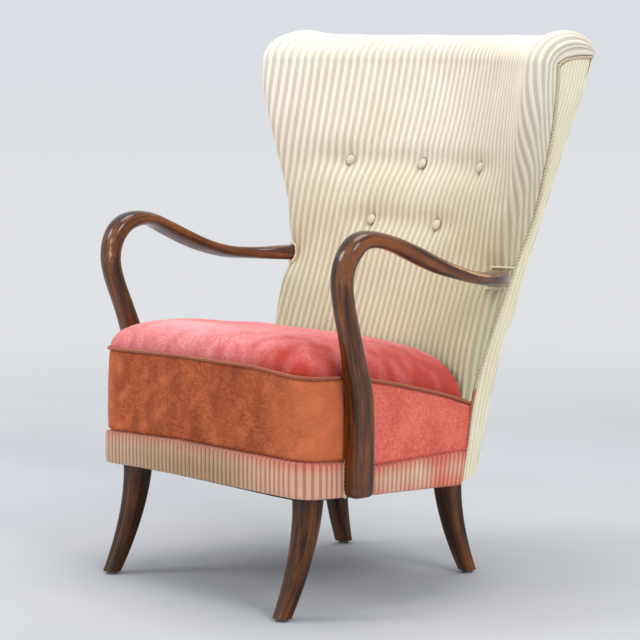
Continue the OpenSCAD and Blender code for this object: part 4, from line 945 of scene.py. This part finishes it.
def make_front_strips():
    line, out2, run = front_path(FRONT_END, 0)
    outward = xyz(*out2.T, 0)
    x, d = line.T
    low = seat_low(d) + np.interp(x, *BAND_FOOT_FRONT)
    high = band_top(d) + np.interp(x, *BAND_HEAD_FRONT)
    v, height, fade, seam = band_face(run)
    green = ((0.35 + 0.65 * smooth(-230, -90, x)) * (1 - smooth(60, 240, x)))[:, None]
    rose = np.clip(smooth(0.6, 1.0, v) * 0.5 + smooth(60, 280, x)[:, None] * 0.35, 0, 1)
    thick = CLOTH_T + BAND_OUT - 2.5
    band = strip("base_band_front_ribbed", xyz(x, at(d), low), xyz(x, at(d), high), outward,
                 thick, thick, height * BAND_RIB_H * fade, band_ribs,
                 {"rib": height, "green": green * (1 - 0.5 * smooth(0.3, 1, v)), "rose": rose,
                  "seam": seam}, swell=0.6)
    seated(band, "band_rib_cloth", "base_band_front")
    u = run[:, None]
    v = np.linspace(0, 1, 33)[None, :]
    z = mix(low[:, None], high[:, None], v)
    lift = 0.5 * waves(21, u, z, 70, 8) + 0.25 * waves(22, u, z * 4, 60, 8)
    # Two creases that cross near the right end.
    pull = np.exp(-((u - 245) / 45) ** 2)
    lift += -1.1 * pull * np.exp(-((v - 0.42 - (u - 200) * 0.002) / 0.035) ** 2)
    lift += -0.8 * pull * np.exp(-((v - 0.46 + (u - 200) * 0.002) / 0.035) ** 2)
    deep = 0.12 + 0.28 * waves(23, u, z * 1.2, 55, 14)
    for across, up, wide, tall, strong in FRONT_DARK:
        deep = deep + strong * np.exp(-((u - across) / wide) ** 2 - ((z - up) / tall) ** 2)
    deep = np.clip(deep, 0, 1) * (smooth(-310, -215, u) * (1 - smooth(140, 300, u)))
    pale = np.clip(waves(24, u, z * 3, 60, 12) - 0.2, 0, 1) * 0.5
    ends = 0.75 * smooth(170, 310, u) + 0.85 * (1 - smooth(-320, -190, u))
    border = strip("seat_border_front_velvet", xyz(x, at(d), high + GAP),
                   xyz(x, at(d), seat_pipe_z(d, x) - CORD_R), outward,
                   CLOTH_T + BORDER_OUT - 1.5, CLOTH_T - 0.5, lift, front_velvet,
                   {"deep": deep, "pale": np.clip(pale + ends + 0.08, 0, 1)}, swell=1.5)
    seated(border, "rust_velvet", "seat_border_front")
    for side, name in SIDES:
        x_end = side * (SEAT_HALF_W + CLOTH_T + BAND_OUT)
        last = 0 if side < 0 else -1
        foot, head = low[last], high[last] + 4
        path = [(x_end + side * 0.4 * math.sin(7 * k), at(FRONT_END - 2.5), mix(foot, head, k))
                for k in np.linspace(0.02, 1, 9)]
        made = rope(f"band_end_cord_{name}", path, BAND_CORD_R, collar_cord, fuzz=0.12,
                    seed=5 + side)
        seated(made, "cream_cord")


make_front_strips()


def side_foot(d):
    return seat_low(d) + np.interp(d, *BAND_FOOT_SIDE)


def side_head(d):
    return band_top(d) + np.interp(d, *BAND_HEAD_SIDE)


def side_points(side, low, high):
    """Lower and upper line of a strip along the seat's side, from the arm back to the wing."""
    start = SEAT_KNEE - 2.5
    k = np.linspace(0, 1, int((SEAT_REAR - start) / 1.5) + 1)
    d = mix(start, SEAT_REAR, k)
    lines = []
    for height in (low, high):
        reach = mix(start, pipe_d(back_t(height(d))) - CORD_SEAT - GAP, k)
        lines.append(xyz(side * seat_side(reach), at(reach), height(reach)))
    return k, *lines, np.tile([side, 0.0, 0.0], (len(k), 1))


def make_side_band(side, name):
    k, foot, head, outward = side_points(side, side_foot, side_head)
    thin = 1 - SIDE_THINNING * k
    place = mix(foot[:, 1], head[:, 1], 0.5)
    v, height, fade, seam = band_face(place)
    thick = (CLOTH_T + BAND_OUT) * thin - 2.4 * thin
    patch = np.clip(0.5 + 0.4 * waves(33, place[:, None], 60 * v, 90, 8), 0, 1)
    rose = 0.9 * patch + 0.5 * smooth(0.5, 1.0, v) + 0.45 * smooth(0.5, 1, k)[:, None]
    return strip(f"base_band_{name}_ribbed", foot, head, outward, thick, thick,
                 height * BAND_SIDE_RIB_H * fade * thin[:, None], band_ribs,
                 {"rib": height, "green": 0, "rose": np.clip(rose, 0, 1), "seam": seam},
                 swell=0.4, flip=side < 0)


def make_side_border(side, name):
    k, foot, head, outward = side_points(side, lambda d: side_head(d) + GAP,
                                         lambda d: seat_pipe_z(d, seat_side(d)) - CORD_R)
    thin = 1 - SIDE_THINNING * k
    y = foot[:, 1][:, None]
    z = mix(foot[:, 2][:, None], head[:, 2][:, None], np.linspace(0, 1, 29)[None, :])
    deep = np.clip(0.6 * waves(32, y, z, 90, 8), 0, 1)
    return strip(f"seat_border_{name}_velvet", foot, head, outward,
                 (CLOTH_T + BORDER_OUT) * thin - 1.0, CLOTH_T - 0.6, 0.4 * waves(31, y, z, 60, 8),
                 side_velvet, {"deep": deep, "pale": 0}, swell=0.8, flip=side < 0)


bands, borders = zip(*[(make_side_band(*side), make_side_border(*side)) for side in SIDES])
for band in bands:
    seated(band, "band_rib_cloth", "base_bands_side")
for border in borders:
    seated(border, "coral_side_velvet", "seat_borders_side")


# Cords

def make_cords():
    x, front_d = front_path(FRONT_END - 9, CORD_SEAT, 4)[0].T
    path = xyz(x, at(front_d), seat_pipe_z(front_d, x) + GAP / 2)
    made = rope("seat_piping_front_cord", path, CORD_R, rust_cord, fuzz=0.03)
    seated(made, "rust_cord", "seat_piping")
    d = np.linspace(SEAT_KNEE + GAP + CORD_R, pipe_d(0.19) - 2 * CORD_R - GAP, 40)
    t = np.arange(0.01, 0.92, 0.02)
    s = (1 - np.cos(np.radians(np.arange(0, 181, 15)))) / 2
    for side, name in SIDES:
        path = xyz(side * (seat_side(d) + CORD_R + GAP), at(d),
                   seat_pipe_z(d, seat_side(d)) + GAP / 2)
        made = rope(f"seat_piping_{name}_cord", path, CORD_R, rust_cord, fuzz=0.03)
        seated(made, "rust_cord", "seat_piping")
        rise = xyz(side * pipe_x(t), at(pipe_d(t)), back_z(t))
        ear = xyz(side * mix(pipe_x(ROLL_SHARE), rear_x(1.0), s),
                  at(mix(pipe_d(ROLL_SHARE), rear_d(1.0) - 2 * CORD_R, s)),
                  ear_z(s) - CORD_SEAT - GAP)
        path = np.concatenate([rise, ear])
        made = rope(f"wing_piping_{name}_cord", path, CORD_R, cream_cord, fuzz=0.04)
        seated(made, "cream_cord", f"wing_piping_{name}")


make_cords()


# Arms

# An arm at even steps of its length. The columns are shares of its bow, reach, height, change of
# width, change of thickness, tilt and rounding.
ARM_LINE = np.array([
    [0.02, 0.130, 0.000, 0.00, 0.00, 0.0, 0.0], [0.08, 0.130, 0.215, 0.00, 0.00, 0.0, 0.1],
    [0.12, 0.125, 0.384, 0.00, 0.20, 0.0, 0.4], [0.20, 0.097, 0.508, 0.02, 0.45, 0.0, 0.8],
    [0.31, 0.061, 0.628, 0.05, 0.60, 0.0, 1.0], [0.39, 0.023, 0.746, 0.05, 0.80, 0.0, 1.0],
    [0.43, 0.004, 0.848, 0.05, 0.90, 0.0, 1.0], [0.44, 0.018, 0.932, 0.15, 0.95, 0.0, 1.0],
    [0.48, 0.068, 0.984, 0.30, 0.98, 0.1, 1.0], [0.60, 0.150, 1.000, 0.48, 0.85, 0.3, 1.0],
    [0.80, 0.245, 0.984, 0.66, 0.90, 0.6, 1.0], [0.96, 0.355, 0.941, 0.86, 0.95, 0.9, 0.9],
    [1.00, 0.475, 0.892, 1.00, 1.00, 1.0, 0.8], [0.98, 0.595, 0.851, 1.00, 1.00, 0.9, 0.8],
    [0.86, 0.720, 0.820, 0.84, 1.00, 0.7, 0.8], [0.60, 0.850, 0.807, 0.40, 0.92, 0.4, 0.6],
    [0.20, 0.950, 0.803, 0.00, 0.62, 0.1, 0.3], [-0.14, 1.000, 0.802, 0.00, 0.45, 0.0, 0.0]]).T
# How each arm, bent and shaved by hand, leaves its drawn line, at even steps of its length:
# inwards, back and up in millimetres, then the shares by which it is wider and thicker.
ARM_OWN_SHAPE = {
    -1: [[0, 0, 1, 0, 2.3, 5, 3.5, 3.6, 5.5, 12],
         [0, 0, 1, -1, 3.6, 8, 7, 7.3, 10, 20],
         [0, 0, -3, -7, -6.5, -4.4, -1.3, -2.5, -0.6, 2.4],
         [0, 0, 0, 0.03, 0.05, 0, -0.04, -0.04, 0, 0],
         [0, 0, -0.05, 0.1, 0.3, -0.12, -0.18, -0.26, -0.2, -0.2]],
    1: [[0, 0, 2.3, 2.7, -1, 5, 3, 2.2, 2, 5],
        [0, 0, -3, -4, 0, -7, -5, -3, -2, -2],
        [0, 0, 0.6, 1.5, -1, -1.4, -3.5, 0, 0.4, -4],
        [0, 0, 0, 0.05, 0.05, 0, 0, 0, 0, 0],
        [0, 0, 0, 0.1, 0.3, -0.08, 0.1, -0.18, -0.28, -0.18]]}
# Parts of an arm's length that hands have rubbed: the middle and the half width of each.
ARM_CURL, ARM_REST, ARM_FOOT = (0.38, 0.09), (0.78, 0.15), (0, 0.05)


def arm_point(s):
    bow, reach, height = (along(column, s) for column in ARM_LINE[:3])
    foot_z = float(seat_low(ARM_FOOT_D)) + ARM_FOOT_LIFT
    curl_d = ARM_FOOT_D - ARM_REACH * ARM_LINE[1][0]
    return np.array([ARM_X + ARM_BOW * bow, at(curl_d + ARM_REACH * reach),
                     foot_z + (ARM_TOP_Z - foot_z) * height])


def arm_frame(s, own):
    """Point, axes, half sizes and squareness of an arm's section at a share of its length."""
    step = 0.004
    inward, back, up, wider, thicker = (along(row, s) for row in own)
    width, thickness, tilt, rounding = (along(column, s) for column in ARM_LINE[3:])
    w = unit(arm_point(min(s + step, 1)) - arm_point(max(s - step, 0)))
    u0 = unit(np.array([1.0, 0, 0]) - w * w[0])
    v0 = np.cross(w, u0)
    tilt = math.radians(ARM_TILT * tilt)
    u = math.cos(tilt) * u0 + math.sin(tilt) * v0
    v = math.cos(tilt) * v0 - math.sin(tilt) * u0
    half_w = mix(ARM_FOOT_W, ARM_REST_W, width) / 2 * (1 + wider)
    half_t = mix(ARM_FOOT_T, ARM_REST_T, thickness) / 2 * (1 + thicker)
    square = mix(ARM_SQUARE_FOOT, ARM_SQUARE_REST, rounding)
    return arm_point(s) + np.array([-inward, back, up]), u, v, half_w, half_t, 2 / square


def near(s, part):
    return math.exp(-((s - part[0]) / part[1]) ** 2)


def arm_rings(count, sides, own):
    """Rings of points along an arm, and the marks that its wood reads."""
    ca, sa = circle(sides, 0.5)
    rings = np.zeros((count, sides, 3))
    wear, across, deep, run = (np.zeros((count, sides)) for _ in range(4))
    for i, s in enumerate(np.arange(count) / (count - 1)):
        c, u, v, half_w, half_t, p = arm_frame(s, own)
        end = math.sqrt(1 - (1 - min(s / ARM_FOOT_ROUND, 1)) ** 2)
        a = half_w * squared(ca, p) * mix(ARM_FOOT_TAPER, 1, end)
        b = half_t * squared(sa, p) * mix(ARM_FOOT_TAPER, 1, end)
        rings[i] = c + a[:, None] * u + b[:, None] * v
        corner = np.minimum(np.abs(a) / half_w, np.abs(b) / half_t) ** 2
        rubbed = 0.25 * corner + 0.47 * near(s, ARM_CURL) * (b < 0)
        rubbed += near(s, ARM_REST) * corner * (b < 0) * np.where(a > 0, 1.1, 0.75)
        wear[i] = np.clip(rubbed + 0.3 * near(s, ARM_FOOT) * corner - 0.08, 0, 1)
        across[i], deep[i] = a * MM, b * MM
        if i:
            run[i] = run[i - 1] + np.linalg.norm(rings[i].mean(0) - rings[i - 1].mean(0)) * MM
    return rings, {"wear": wear, "across": across, "deep": deep, "run": run}


def make_collar(side, name, end):
    """Cord sewn round the cut in the cloth where an arm goes in; it lies on the wing."""
    high, low = end[:, 2].max(), end[:, 2].min()
    middle = mix(high, low, 0.5)
    inner = end[:, 0].min() - 4
    shares = np.linspace(0, 1, 60)
    face = np.array([half_face(back_t(0.5 * (high + low)), q)[0] for q in shares])
    q_in = float(np.interp(inner, face, shares)) if inner < face[-1] else 1.05
    q_mid = mix(q_in, 1.2, 0.5)
    places = [(2.22, high + 1), (2.05, high + 2), (1.7, high + 3), (1.4, high + 3),
              (q_mid, high + 3), (q_in, high), (q_in - 0.01, middle), (q_in, low + 1),
              (q_mid, low - 3), (1.4, low - 3), (1.7, low - 3), (2.05, low - 2), (2.15, low - 2)]
    out = COLLAR_R + RIB_CREST + 0.6
    path = []
    for q, z in places:
        t = back_t(z)
        (x0, d0), (x1, d1) = half_face(t, q - 0.01), half_face(t, q + 0.01)
        x, d = half_face(t, q)
        away = unit(np.array([float(d1 - d0), -float(x1 - x0)]))
        path.append((side * (float(x) + away[0] * out), at(float(d)) + away[1] * out, z))
    made = rope(f"arm_collar_{name}_cord", path, COLLAR_R, collar_cord, lay=15.0, fuzz=0.05, seed=9)
    seated(made, "cream_cord", "arm_collars")


for side, name in SIDES:
    rings, marks = arm_rings(301, 56, ARM_OWN_SHAPE[side])
    made = sweep(f"arm_{name}_bentwood", rings * [side, 1, 1], arm_wood,
                 {**marks, "run": marks["run"] + 2 * side}, flip=side > 0, sharp=50)
    seated(made, "arm_wood", f"arm_{name}")
    make_collar(side, name, rings[-1])


# Legs

def leg_rings(top_x, top_d, foot_x, foot_d):
    """Rings of a sabre leg from its foot up, with the block that is bolted to the rails."""
    sides, levels = 40, 40
    cx, cy = (squared(share, LEG_ROUND) for share in circle(sides, 0.5))
    top_z = float(seat_low(top_d))
    rings = []
    for s in np.linspace(1, 0, levels):
        w = mix(LEG_TOP_W, LEG_FOOT_W, s ** 0.9) / 2
        x, d = mix(top_x, foot_x, s ** LEG_BEND), mix(top_d, foot_d, s ** LEG_BEND)
        rings.append(xyz(x + w * cx, at(d + w * cy), mix(top_z, GLIDE_H, s)))
    for z in (top_z + 0.1, top_z + LEG_BLOCK_H):
        w = LEG_BLOCK_W / 2
        x = top_x + w * cx
        # The rear legs' blocks stay in front of the outside back.
        limit = at(outside_d(x, max(back_t(z), 0))) - PANEL_T - 2
        rings.append(xyz(x, np.minimum(at(top_d + w * cy), limit), z))
    rings = np.array(rings)
    inside = rings - rings.mean(1, keepdims=True)
    wear = np.tile(np.abs(cx * cy) ** 2 * 0.3, (len(rings), 1)) + 0.3 * np.exp(-rings[..., 2] / 25)
    return rings, {"wear": wear, "across": inside[..., 0] * MM, "deep": inside[..., 1] * MM,
                   "run": rings[..., 2] * MM}


def make_legs():
    front_x = SEAT_HALF_W - RAIL_T - GAP - LEG_BLOCK_W / 2
    rear_top_x = REAR_FOOT_X - REAR_LEG_SPLAY
    rear_top_d = BACK_FOOT - REAR_RAIL_IN + GAP + LEG_TOP_W / 2
    specs = [("front", front_x, LEG_FOOT_W / 2 + FRONT_LEG_SWEEP, FRONT_FOOT_X, LEG_FOOT_W / 2),
             ("rear", rear_top_x, rear_top_d, REAR_FOOT_X, rear_top_d + REAR_LEG_SWEEP)]
    for end, top_x, *rest in specs:
        rings, marks = leg_rings(top_x, *rest)
        for side, name in SIDES:
            made = sweep(f"leg_{end}_{name}_sabre", rings * [side, 1, 1], leg_wood,
                         {**marks, "run": marks["run"] + 3 * side + top_x * MM},
                         flip=side > 0, sharp=50)
            seated(made, "leg_wood", f"leg_{end}_{name}")


make_legs()


# Buttons

def make_button(number, share, t):
    sides = 36
    x, z = share * WING_HALF_W, back_z(t)
    wide = float(crest_x(t))
    reach = abs(x) / wide
    fall = float(middle_d(t)) - float(crest_d(t))
    d = (mix(float(middle_d(t)), float(crest_d(t)), reach ** FACE_POWER)
         + float(press(np.array(x), z)) - 1.0)
    lean = math.atan(fall / wide * FACE_POWER * reach ** (FACE_POWER - 1)) * (-np.sign(x))
    out = np.array([math.sin(lean) * math.cos(BUTTON_TILT),
                    -math.cos(lean) * math.cos(BUTTON_TILT), math.sin(BUTTON_TILT)])
    up = unit(np.array([0, 0, 1.0]) - out * out[2])
    across = np.cross(up, out)
    turn = 2 * math.pi * np.arange(sides) / sides
    rim = np.cos(turn)[:, None] * across + np.sin(turn)[:, None] * up
    rings = []
    for r, h in BUTTON_PROFILE:
        uneven = 1 + 0.012 * np.sin(7 * turn + number) * (r > 0.4)
        rings.append(np.array([x, at(d), z]) + out * BUTTON_H * h
                     + (r * BUTTON_D * uneven)[:, None] * rim)
    made = sweep(f"back_button_{number}", rings, button_cloth,
                 {"rib": np.full((len(rings), sides), 0.9)}, sharp=60)
    seated(made, "button_cloth", "back_buttons")


for number, (share, t) in enumerate(BUTTONS, 1):
    make_button(number, share, t)


# Outside back and side panels

def corner_rise(face, share):
    """How far the lower corners of the outside cloths are turned up."""
    up = smooth(0, CORNER_H, face[..., 2] - back_z(PANEL_LOW))
    return CORNER_RISE * (share[None, :] * (1 - up))


def make_outside_back():
    levels = np.linspace(PANEL_LOW, 0.979, 81)
    across = np.linspace(-1, 1, 331)
    x = np.array([across * rear_x(t) for t in levels])
    y = at(np.array([outside_d(row, t) for row, t in zip(x, levels)]))
    face = xyz(x, y, back_z(levels)[:, None])
    face[..., 2] += corner_rise(face, smooth(0.86, 1.0, np.abs(across)))
    normal = -grid_normals(face)
    height = ridge(x, SIDE_PITCH)
    edge = (1 - smooth(0.97, 1.0, np.abs(across)))[None, :]
    lift = (height * SIDE_RIB_H - BACK_RIB_VALLEY) * edge
    made = shell("outside_back_ribbed", face + normal * lift[..., None], face - normal * PANEL_T, 2,
                 side_ribs, {"rib": height}, flip=True)
    seated(made, "cream_rib_cloth", "outside_back")


make_outside_back()


def make_side_panels():
    s = np.linspace(0, 1, 61)

    def row(t):
        x = mix(pipe_x(t), rear_x(t) - GAP, s) + 2 * np.sin(math.pi * s)
        y = at(mix(pipe_d(t) + CORD_SEAT + 6 * GAP, rear_d(t) - GAP - PANEL_T, s))
        return xyz(x, y, back_z(t))
    face = np.array([row(t) for t in np.linspace(PANEL_LOW, 0.915, 121)])
    top = row(ROLL_SHARE)
    top[:, 2] = ear_z(s) - 2 * CORD_SEAT - GAP
    more = [mix(face[-1], top, k) for k in np.linspace(0, 1, 9)[1:]]
    face = np.concatenate([face, more])
    # The ribs run along the rear edge, so their place is the distance in front of it.
    height = ridge(np.linalg.norm(face - face[:, -1:, :], axis=-1), SIDE_PITCH)
    face[..., 2] += corner_rise(face, smooth(0.35, 1.0, s))
    edge = (1 - smooth(0.92, 1.0, np.abs(2 * s - 1)))[None, :]
    lift = (height * SIDE_RIB_H - SIDE_RIB_VALLEY) * edge
    for side, name in SIDES:
        sided = face * [side, 1, 1]
        normal = grid_normals(sided) * side
        made = shell(f"side_panel_{name}_ribbed", sided + normal * lift[..., None],
                     sided - normal * PANEL_T, 4, side_ribs, {"rib": height}, flip=side < 0)
        seated(made, "side_rib_cloth", f"side_panel_{name}")


make_side_panels()


# Stuffing, webbing and inner cloths

def cut_finer(cut, longest):
    """Halve the edges of a bmesh until none is longer than a length in millimetres."""
    for _ in range(7):
        long_edges = [edge for edge in cut.edges if edge.calc_length() > longest * MM]
        if not long_edges:
            break
        bmesh.ops.subdivide_edges(cut, edges=long_edges, cuts=1)
        bmesh.ops.triangulate(cut, faces=[face for face in cut.faces if len(face.verts) > 3])


def drop_twins(cut):
    """Delete the doubled faces where two straps touch, so that the bmesh is one closed skin."""
    corners = [frozenset(corner.index for corner in face.verts) for face in cut.faces]
    if len(set(corners)) < len(corners):
        doubled = {key for key in corners if corners.count(key) > 1}
        twins = [face for face, key in zip(cut.faces, corners) if key in doubled]
        bmesh.ops.delete(cut, geom=twins, context="FACES_ONLY")


def evened(name, mesh, size):
    """The mesh made again from even squares of a size in millimetres."""
    rough = bpy.data.objects.new(name + "_rough", mesh)
    bpy.context.scene.collection.objects.link(rough)
    remesh = rough.modifiers.new("even", "REMESH")
    remesh.mode = "VOXEL"
    remesh.voxel_size = size * MM
    graph = bpy.context.evaluated_depsgraph_get()
    mesh = bpy.data.meshes.new_from_object(rough.evaluated_get(graph))
    bpy.data.objects.remove(rough)
    return mesh


def softened(name, node, finish, slot, move, longest=None, even=None):
    """A soft part of the frame made again: cut finer, to its longest edge or to even squares, then
    moved by a function of its points and normals."""
    cut = bmesh.new()
    cut.from_mesh(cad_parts[node].data)
    bmesh.ops.remove_doubles(cut, verts=cut.verts, dist=0.01 * MM)
    if longest:
        cut_finer(cut, longest)
    drop_twins(cut)
    mesh = bpy.data.meshes.new(name)
    cut.to_mesh(mesh)
    cut.free()
    if even:
        mesh = evened(name, mesh, even)
    points, normals = np.zeros(len(mesh.vertices) * 3), np.zeros(len(mesh.vertices) * 3)
    mesh.vertices.foreach_get("co", points)
    mesh.vertices.foreach_get("normal", normals)
    faces = [list(face.vertices) for face in mesh.polygons]
    points = move(points.reshape(-1, 3) / MM, normals.reshape(-1, 3))
    return seated(make_object(name, points, faces, finish, sharp=50), slot, node)


def back_stuffing_move(points, normals):
    """Lumps, and room for the face that the buttons and creases press in."""
    points = points + normals * (0.8 * waves(41, points[:, 0], points[:, 2], 45) - 1.0)[:, None]
    t = back_t(points[:, 2])
    x = np.minimum(np.abs(points[:, 0]), crest_x(t))
    face_d = back_face_d(x, t) + press(x, points[:, 2])
    points[:, 1] = np.maximum(points[:, 1], at(face_d) + PANEL_T + 2.5)
    return points


def seat_stuffing_move(points, normals):
    """Lumps, and a top that has sunk with the cover."""
    low_z, high_z, narrower = 275, 345, 0.975
    points = points + normals * (0.9 * waves(42, points[:, 0], points[:, 1], 50))[:, None]
    d = points[:, 1] + OVERALL_DEPTH / 2
    sunk = np.minimum(settled(points[:, 0], d), 0) - 5 - 10 * smooth(SEAT_FRONT, SEAT_REAR, d)
    points[:, 2] += sunk * smooth(low_z, high_z, points[:, 2])
    points[:, 0] *= narrower
    points[:, 1] = np.maximum(points[:, 1], at(SEAT_FRONT + 3))
    return points


def roll_move(points, normals):
    return points + normals * (0.6 * waves(43, points[:, 1], points[:, 2], 30) - 1.6)[:, None]


def slack(seed):
    """A cloth's or strap's move: a little uneven slack."""
    def move(points, normals):
        x, y, z = points.T
        return points + normals * 0.35 * waves(seed, x + y, z + y, 45)[:, None]
    return move


def dust_cover_move(points, normals):
    """Turned under along its edges and at its rear corners."""
    front, rear, corner_in, narrower = -325, 97, 45, 0.982
    points = slack(52)(points, normals)
    points[:, 0] *= narrower
    rear = rear - corner_in * smooth(200, 280, np.abs(points[:, 0]))
    points[:, 1] = np.clip(points[:, 1], front, rear)
    return points


def make_inner_parts():
    for node, move, even in [("back_stuffing", back_stuffing_move, 9),
                             ("seat_stuffing", seat_stuffing_move, 9),
                             ("wing_roll_left", roll_move, 6), ("wing_roll_right", roll_move, 6)]:
        made = softened(node + "_fibre", node, fibre, "stuffing", move, even=even)
    front_to_rear = ["front_rail", "rear_rail"]
    side_to_side = ["side_rail_left", "side_rail_right"]
    up_the_back = ["back_top_rail", "back_bottom_rail"]
    sheets = [
        ("seat_hessian", hessian, "hessian", slack(50), (0.46, 0.30), ["seat_springs"]),
        ("back_hessian", hessian, "hessian", slack(51), (0.60, 0.63), ["back_webbing_straps"]),
        ("dust_cover", dust_cloth_dark_as_shadow, "hessian", dust_cover_move, (0.57, 0.44), front_to_rear),
        ("seat_webbing_lengthwise", jute, "jute_webbing", slack(53), (0.05, 2.1), front_to_rear),
        ("seat_webbing_crosswise", jute, "jute_webbing", slack(54), (0.05, 2.0), side_to_side),
        ("back_webbing", jute, "jute_webbing", slack(55), (0.05, 2.5), up_the_back)]
    for node, finish, slot, move, flat, rests_on in sheets:
        name = node + ("_straps" if "webbing" in node else "_cloth")
        made = softened(name, node, finish, slot, move, longest=22)


make_inner_parts()


# Pieces kept from the frame, with their own finishes

KEPT = [
    (steel, ["foot_glides", "arm_screws", "leg_bolts", "dust_cover_tacks"]),
    (spring_steel, ["seat_springs"]),
    (rail_wood, ["front_rail", "rear_rail", "side_rail_left", "side_rail_right", "corner_blocks",
                 "back_post_left", "back_post_right", "back_top_rail", "back_arm_rail",
                 "back_bottom_rail", "wing_board_left", "wing_board_right"])]
for finish, nodes in KEPT:
    for node in nodes:
        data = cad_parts[node].data
        data.materials.clear()
        data.materials.append(finish)


# Floor, backdrop, lamps and camera

FLOOR_HALF = 12.0
FLOOR_TINT = "C7C8CB"
FLOOR_TINT_LOW = "B2B4B7"
BACKDROP_LOW = "E0E2E5"
BACKDROP_HIGH = "DBDFE5"
SKY_TINT = "E8ECF2"
SKY_LEVEL = 0.85
# Name, place, what it points at, width and power
LAMPS = [("left_softbox", (-2.9, -3.9, 3.4), (0, 0, 0.5), 2.2, 93),
         ("right_softbox", (4.3, -0.6, 3.3), (0, 0, 0.5), 2.0, 82),
         ("top_softbox", (0.0, 0.2, 4.2), (0, 0, 0.4), 2.6, 80)]
CAMERA_PLACE = (3.32458, -2.93428, 0.98112)
CAMERA_TURN = (83.3277, -0.1547, 49.0214)
SENSOR_W = 36
PHOTO_W = 640
FOCAL_PIXELS = 2450


def seen_directly(t):
    """1 for rays from the camera, a reflection or a clear body, which show the plain backdrop."""
    path = t.add("LightPath").outputs
    reflected = t.math("MAXIMUM", path["Is Glossy Ray"], path["Is Transmission Ray"])
    return t.math("MAXIMUM", path["Is Camera Ray"], reflected)


def mix_into_output(t, share, first, second):
    both = t.add("MixShader", {0: share, 1: first.outputs[0], 2: second.outputs[0]})
    output = next(n for n in t.tree.nodes if n.type.startswith("OUTPUT"))
    t.put(output, 0, both.outputs[0])


def make_floor():
    """Pale floor that takes the chair's shadow, and turns into the plain backdrop far behind it."""
    mesh = bpy.data.meshes.new("floor")
    corners = [(x * FLOOR_HALF, y * FLOOR_HALF, 0) for x, y in ((-1, -1), (1, -1), (1, 1), (-1, 1))]
    mesh.from_pydata(corners, [], [(0, 1, 2, 3)])
    floor = bpy.data.objects.new("floor", mesh)
    bpy.context.scene.collection.objects.link(floor)
    t = Finish("studio_floor", Roughness=0.8, Specular_IOR_Level=0.15)
    cloudy = t.noise(t.place(), 1.4, 2.0)
    t.put(t.shader, "Base Color", t.blend(cloudy, colour(FLOOR_TINT), colour(FLOOR_TINT_LOW)))
    away = t.add("VectorMath", {0: t.place()}, operation="LENGTH").outputs["Value"]
    plain = t.add("Emission", {"Color": colour(BACKDROP_LOW), "Strength": 1.0})
    mix_into_output(t, t.times(t.ramp(away, 0.9, 3.6), seen_directly(t)), t.shader, plain)
    mesh.materials.append(t.material)


def make_backdrop():
    """World that lights the chair evenly and shows as a plain pale wall."""
    world = bpy.data.worlds.new("studio")
    bpy.context.scene.world = world
    world.use_nodes = True
    t = Tree(world.node_tree)
    lit = next(n for n in world.node_tree.nodes if n.type == "BACKGROUND")
    t.put(lit, 0, colour(SKY_TINT))
    t.put(lit, 1, SKY_LEVEL)
    height = t.add("SeparateXYZ", {0: t.add("TexCoord").outputs["Generated"]}).outputs["Z"]
    wall = t.blend(t.ramp(height, -0.09, 0.0), colour(BACKDROP_LOW), colour(BACKDROP_HIGH))
    mix_into_output(t, seen_directly(t), lit, t.add("Background", {0: wall, 1: 1.0}))


def add_lamp(name, place, aim, size, power):
    lamp = bpy.data.lights.new(name, "AREA")
    lamp.shape = "DISK"
    lamp.size = size
    lamp.energy = power
    made = bpy.data.objects.new(name, lamp)
    bpy.context.scene.collection.objects.link(made)
    made.location = place
    away = np.array(place) - np.array(aim)
    flat = math.hypot(away[0], away[1])
    made.rotation_euler = (math.atan2(flat, away[2]), 0, math.atan2(away[0], -away[1]))


make_floor()
make_backdrop()
for lamp in LAMPS:
    add_lamp(*lamp)

camera = bpy.data.cameras.new("photo_view")
camera.sensor_width = SENSOR_W
camera.lens = SENSOR_W * FOCAL_PIXELS / PHOTO_W
camera_object = bpy.data.objects.new("photo_view", camera)
camera_object.location = CAMERA_PLACE
camera_object.rotation_euler = [math.radians(turn) for turn in CAMERA_TURN]
bpy.context.scene.collection.objects.link(camera_object)
bpy.context.scene.camera = camera_object
bpy.context.scene.view_settings.view_transform = "Standard"
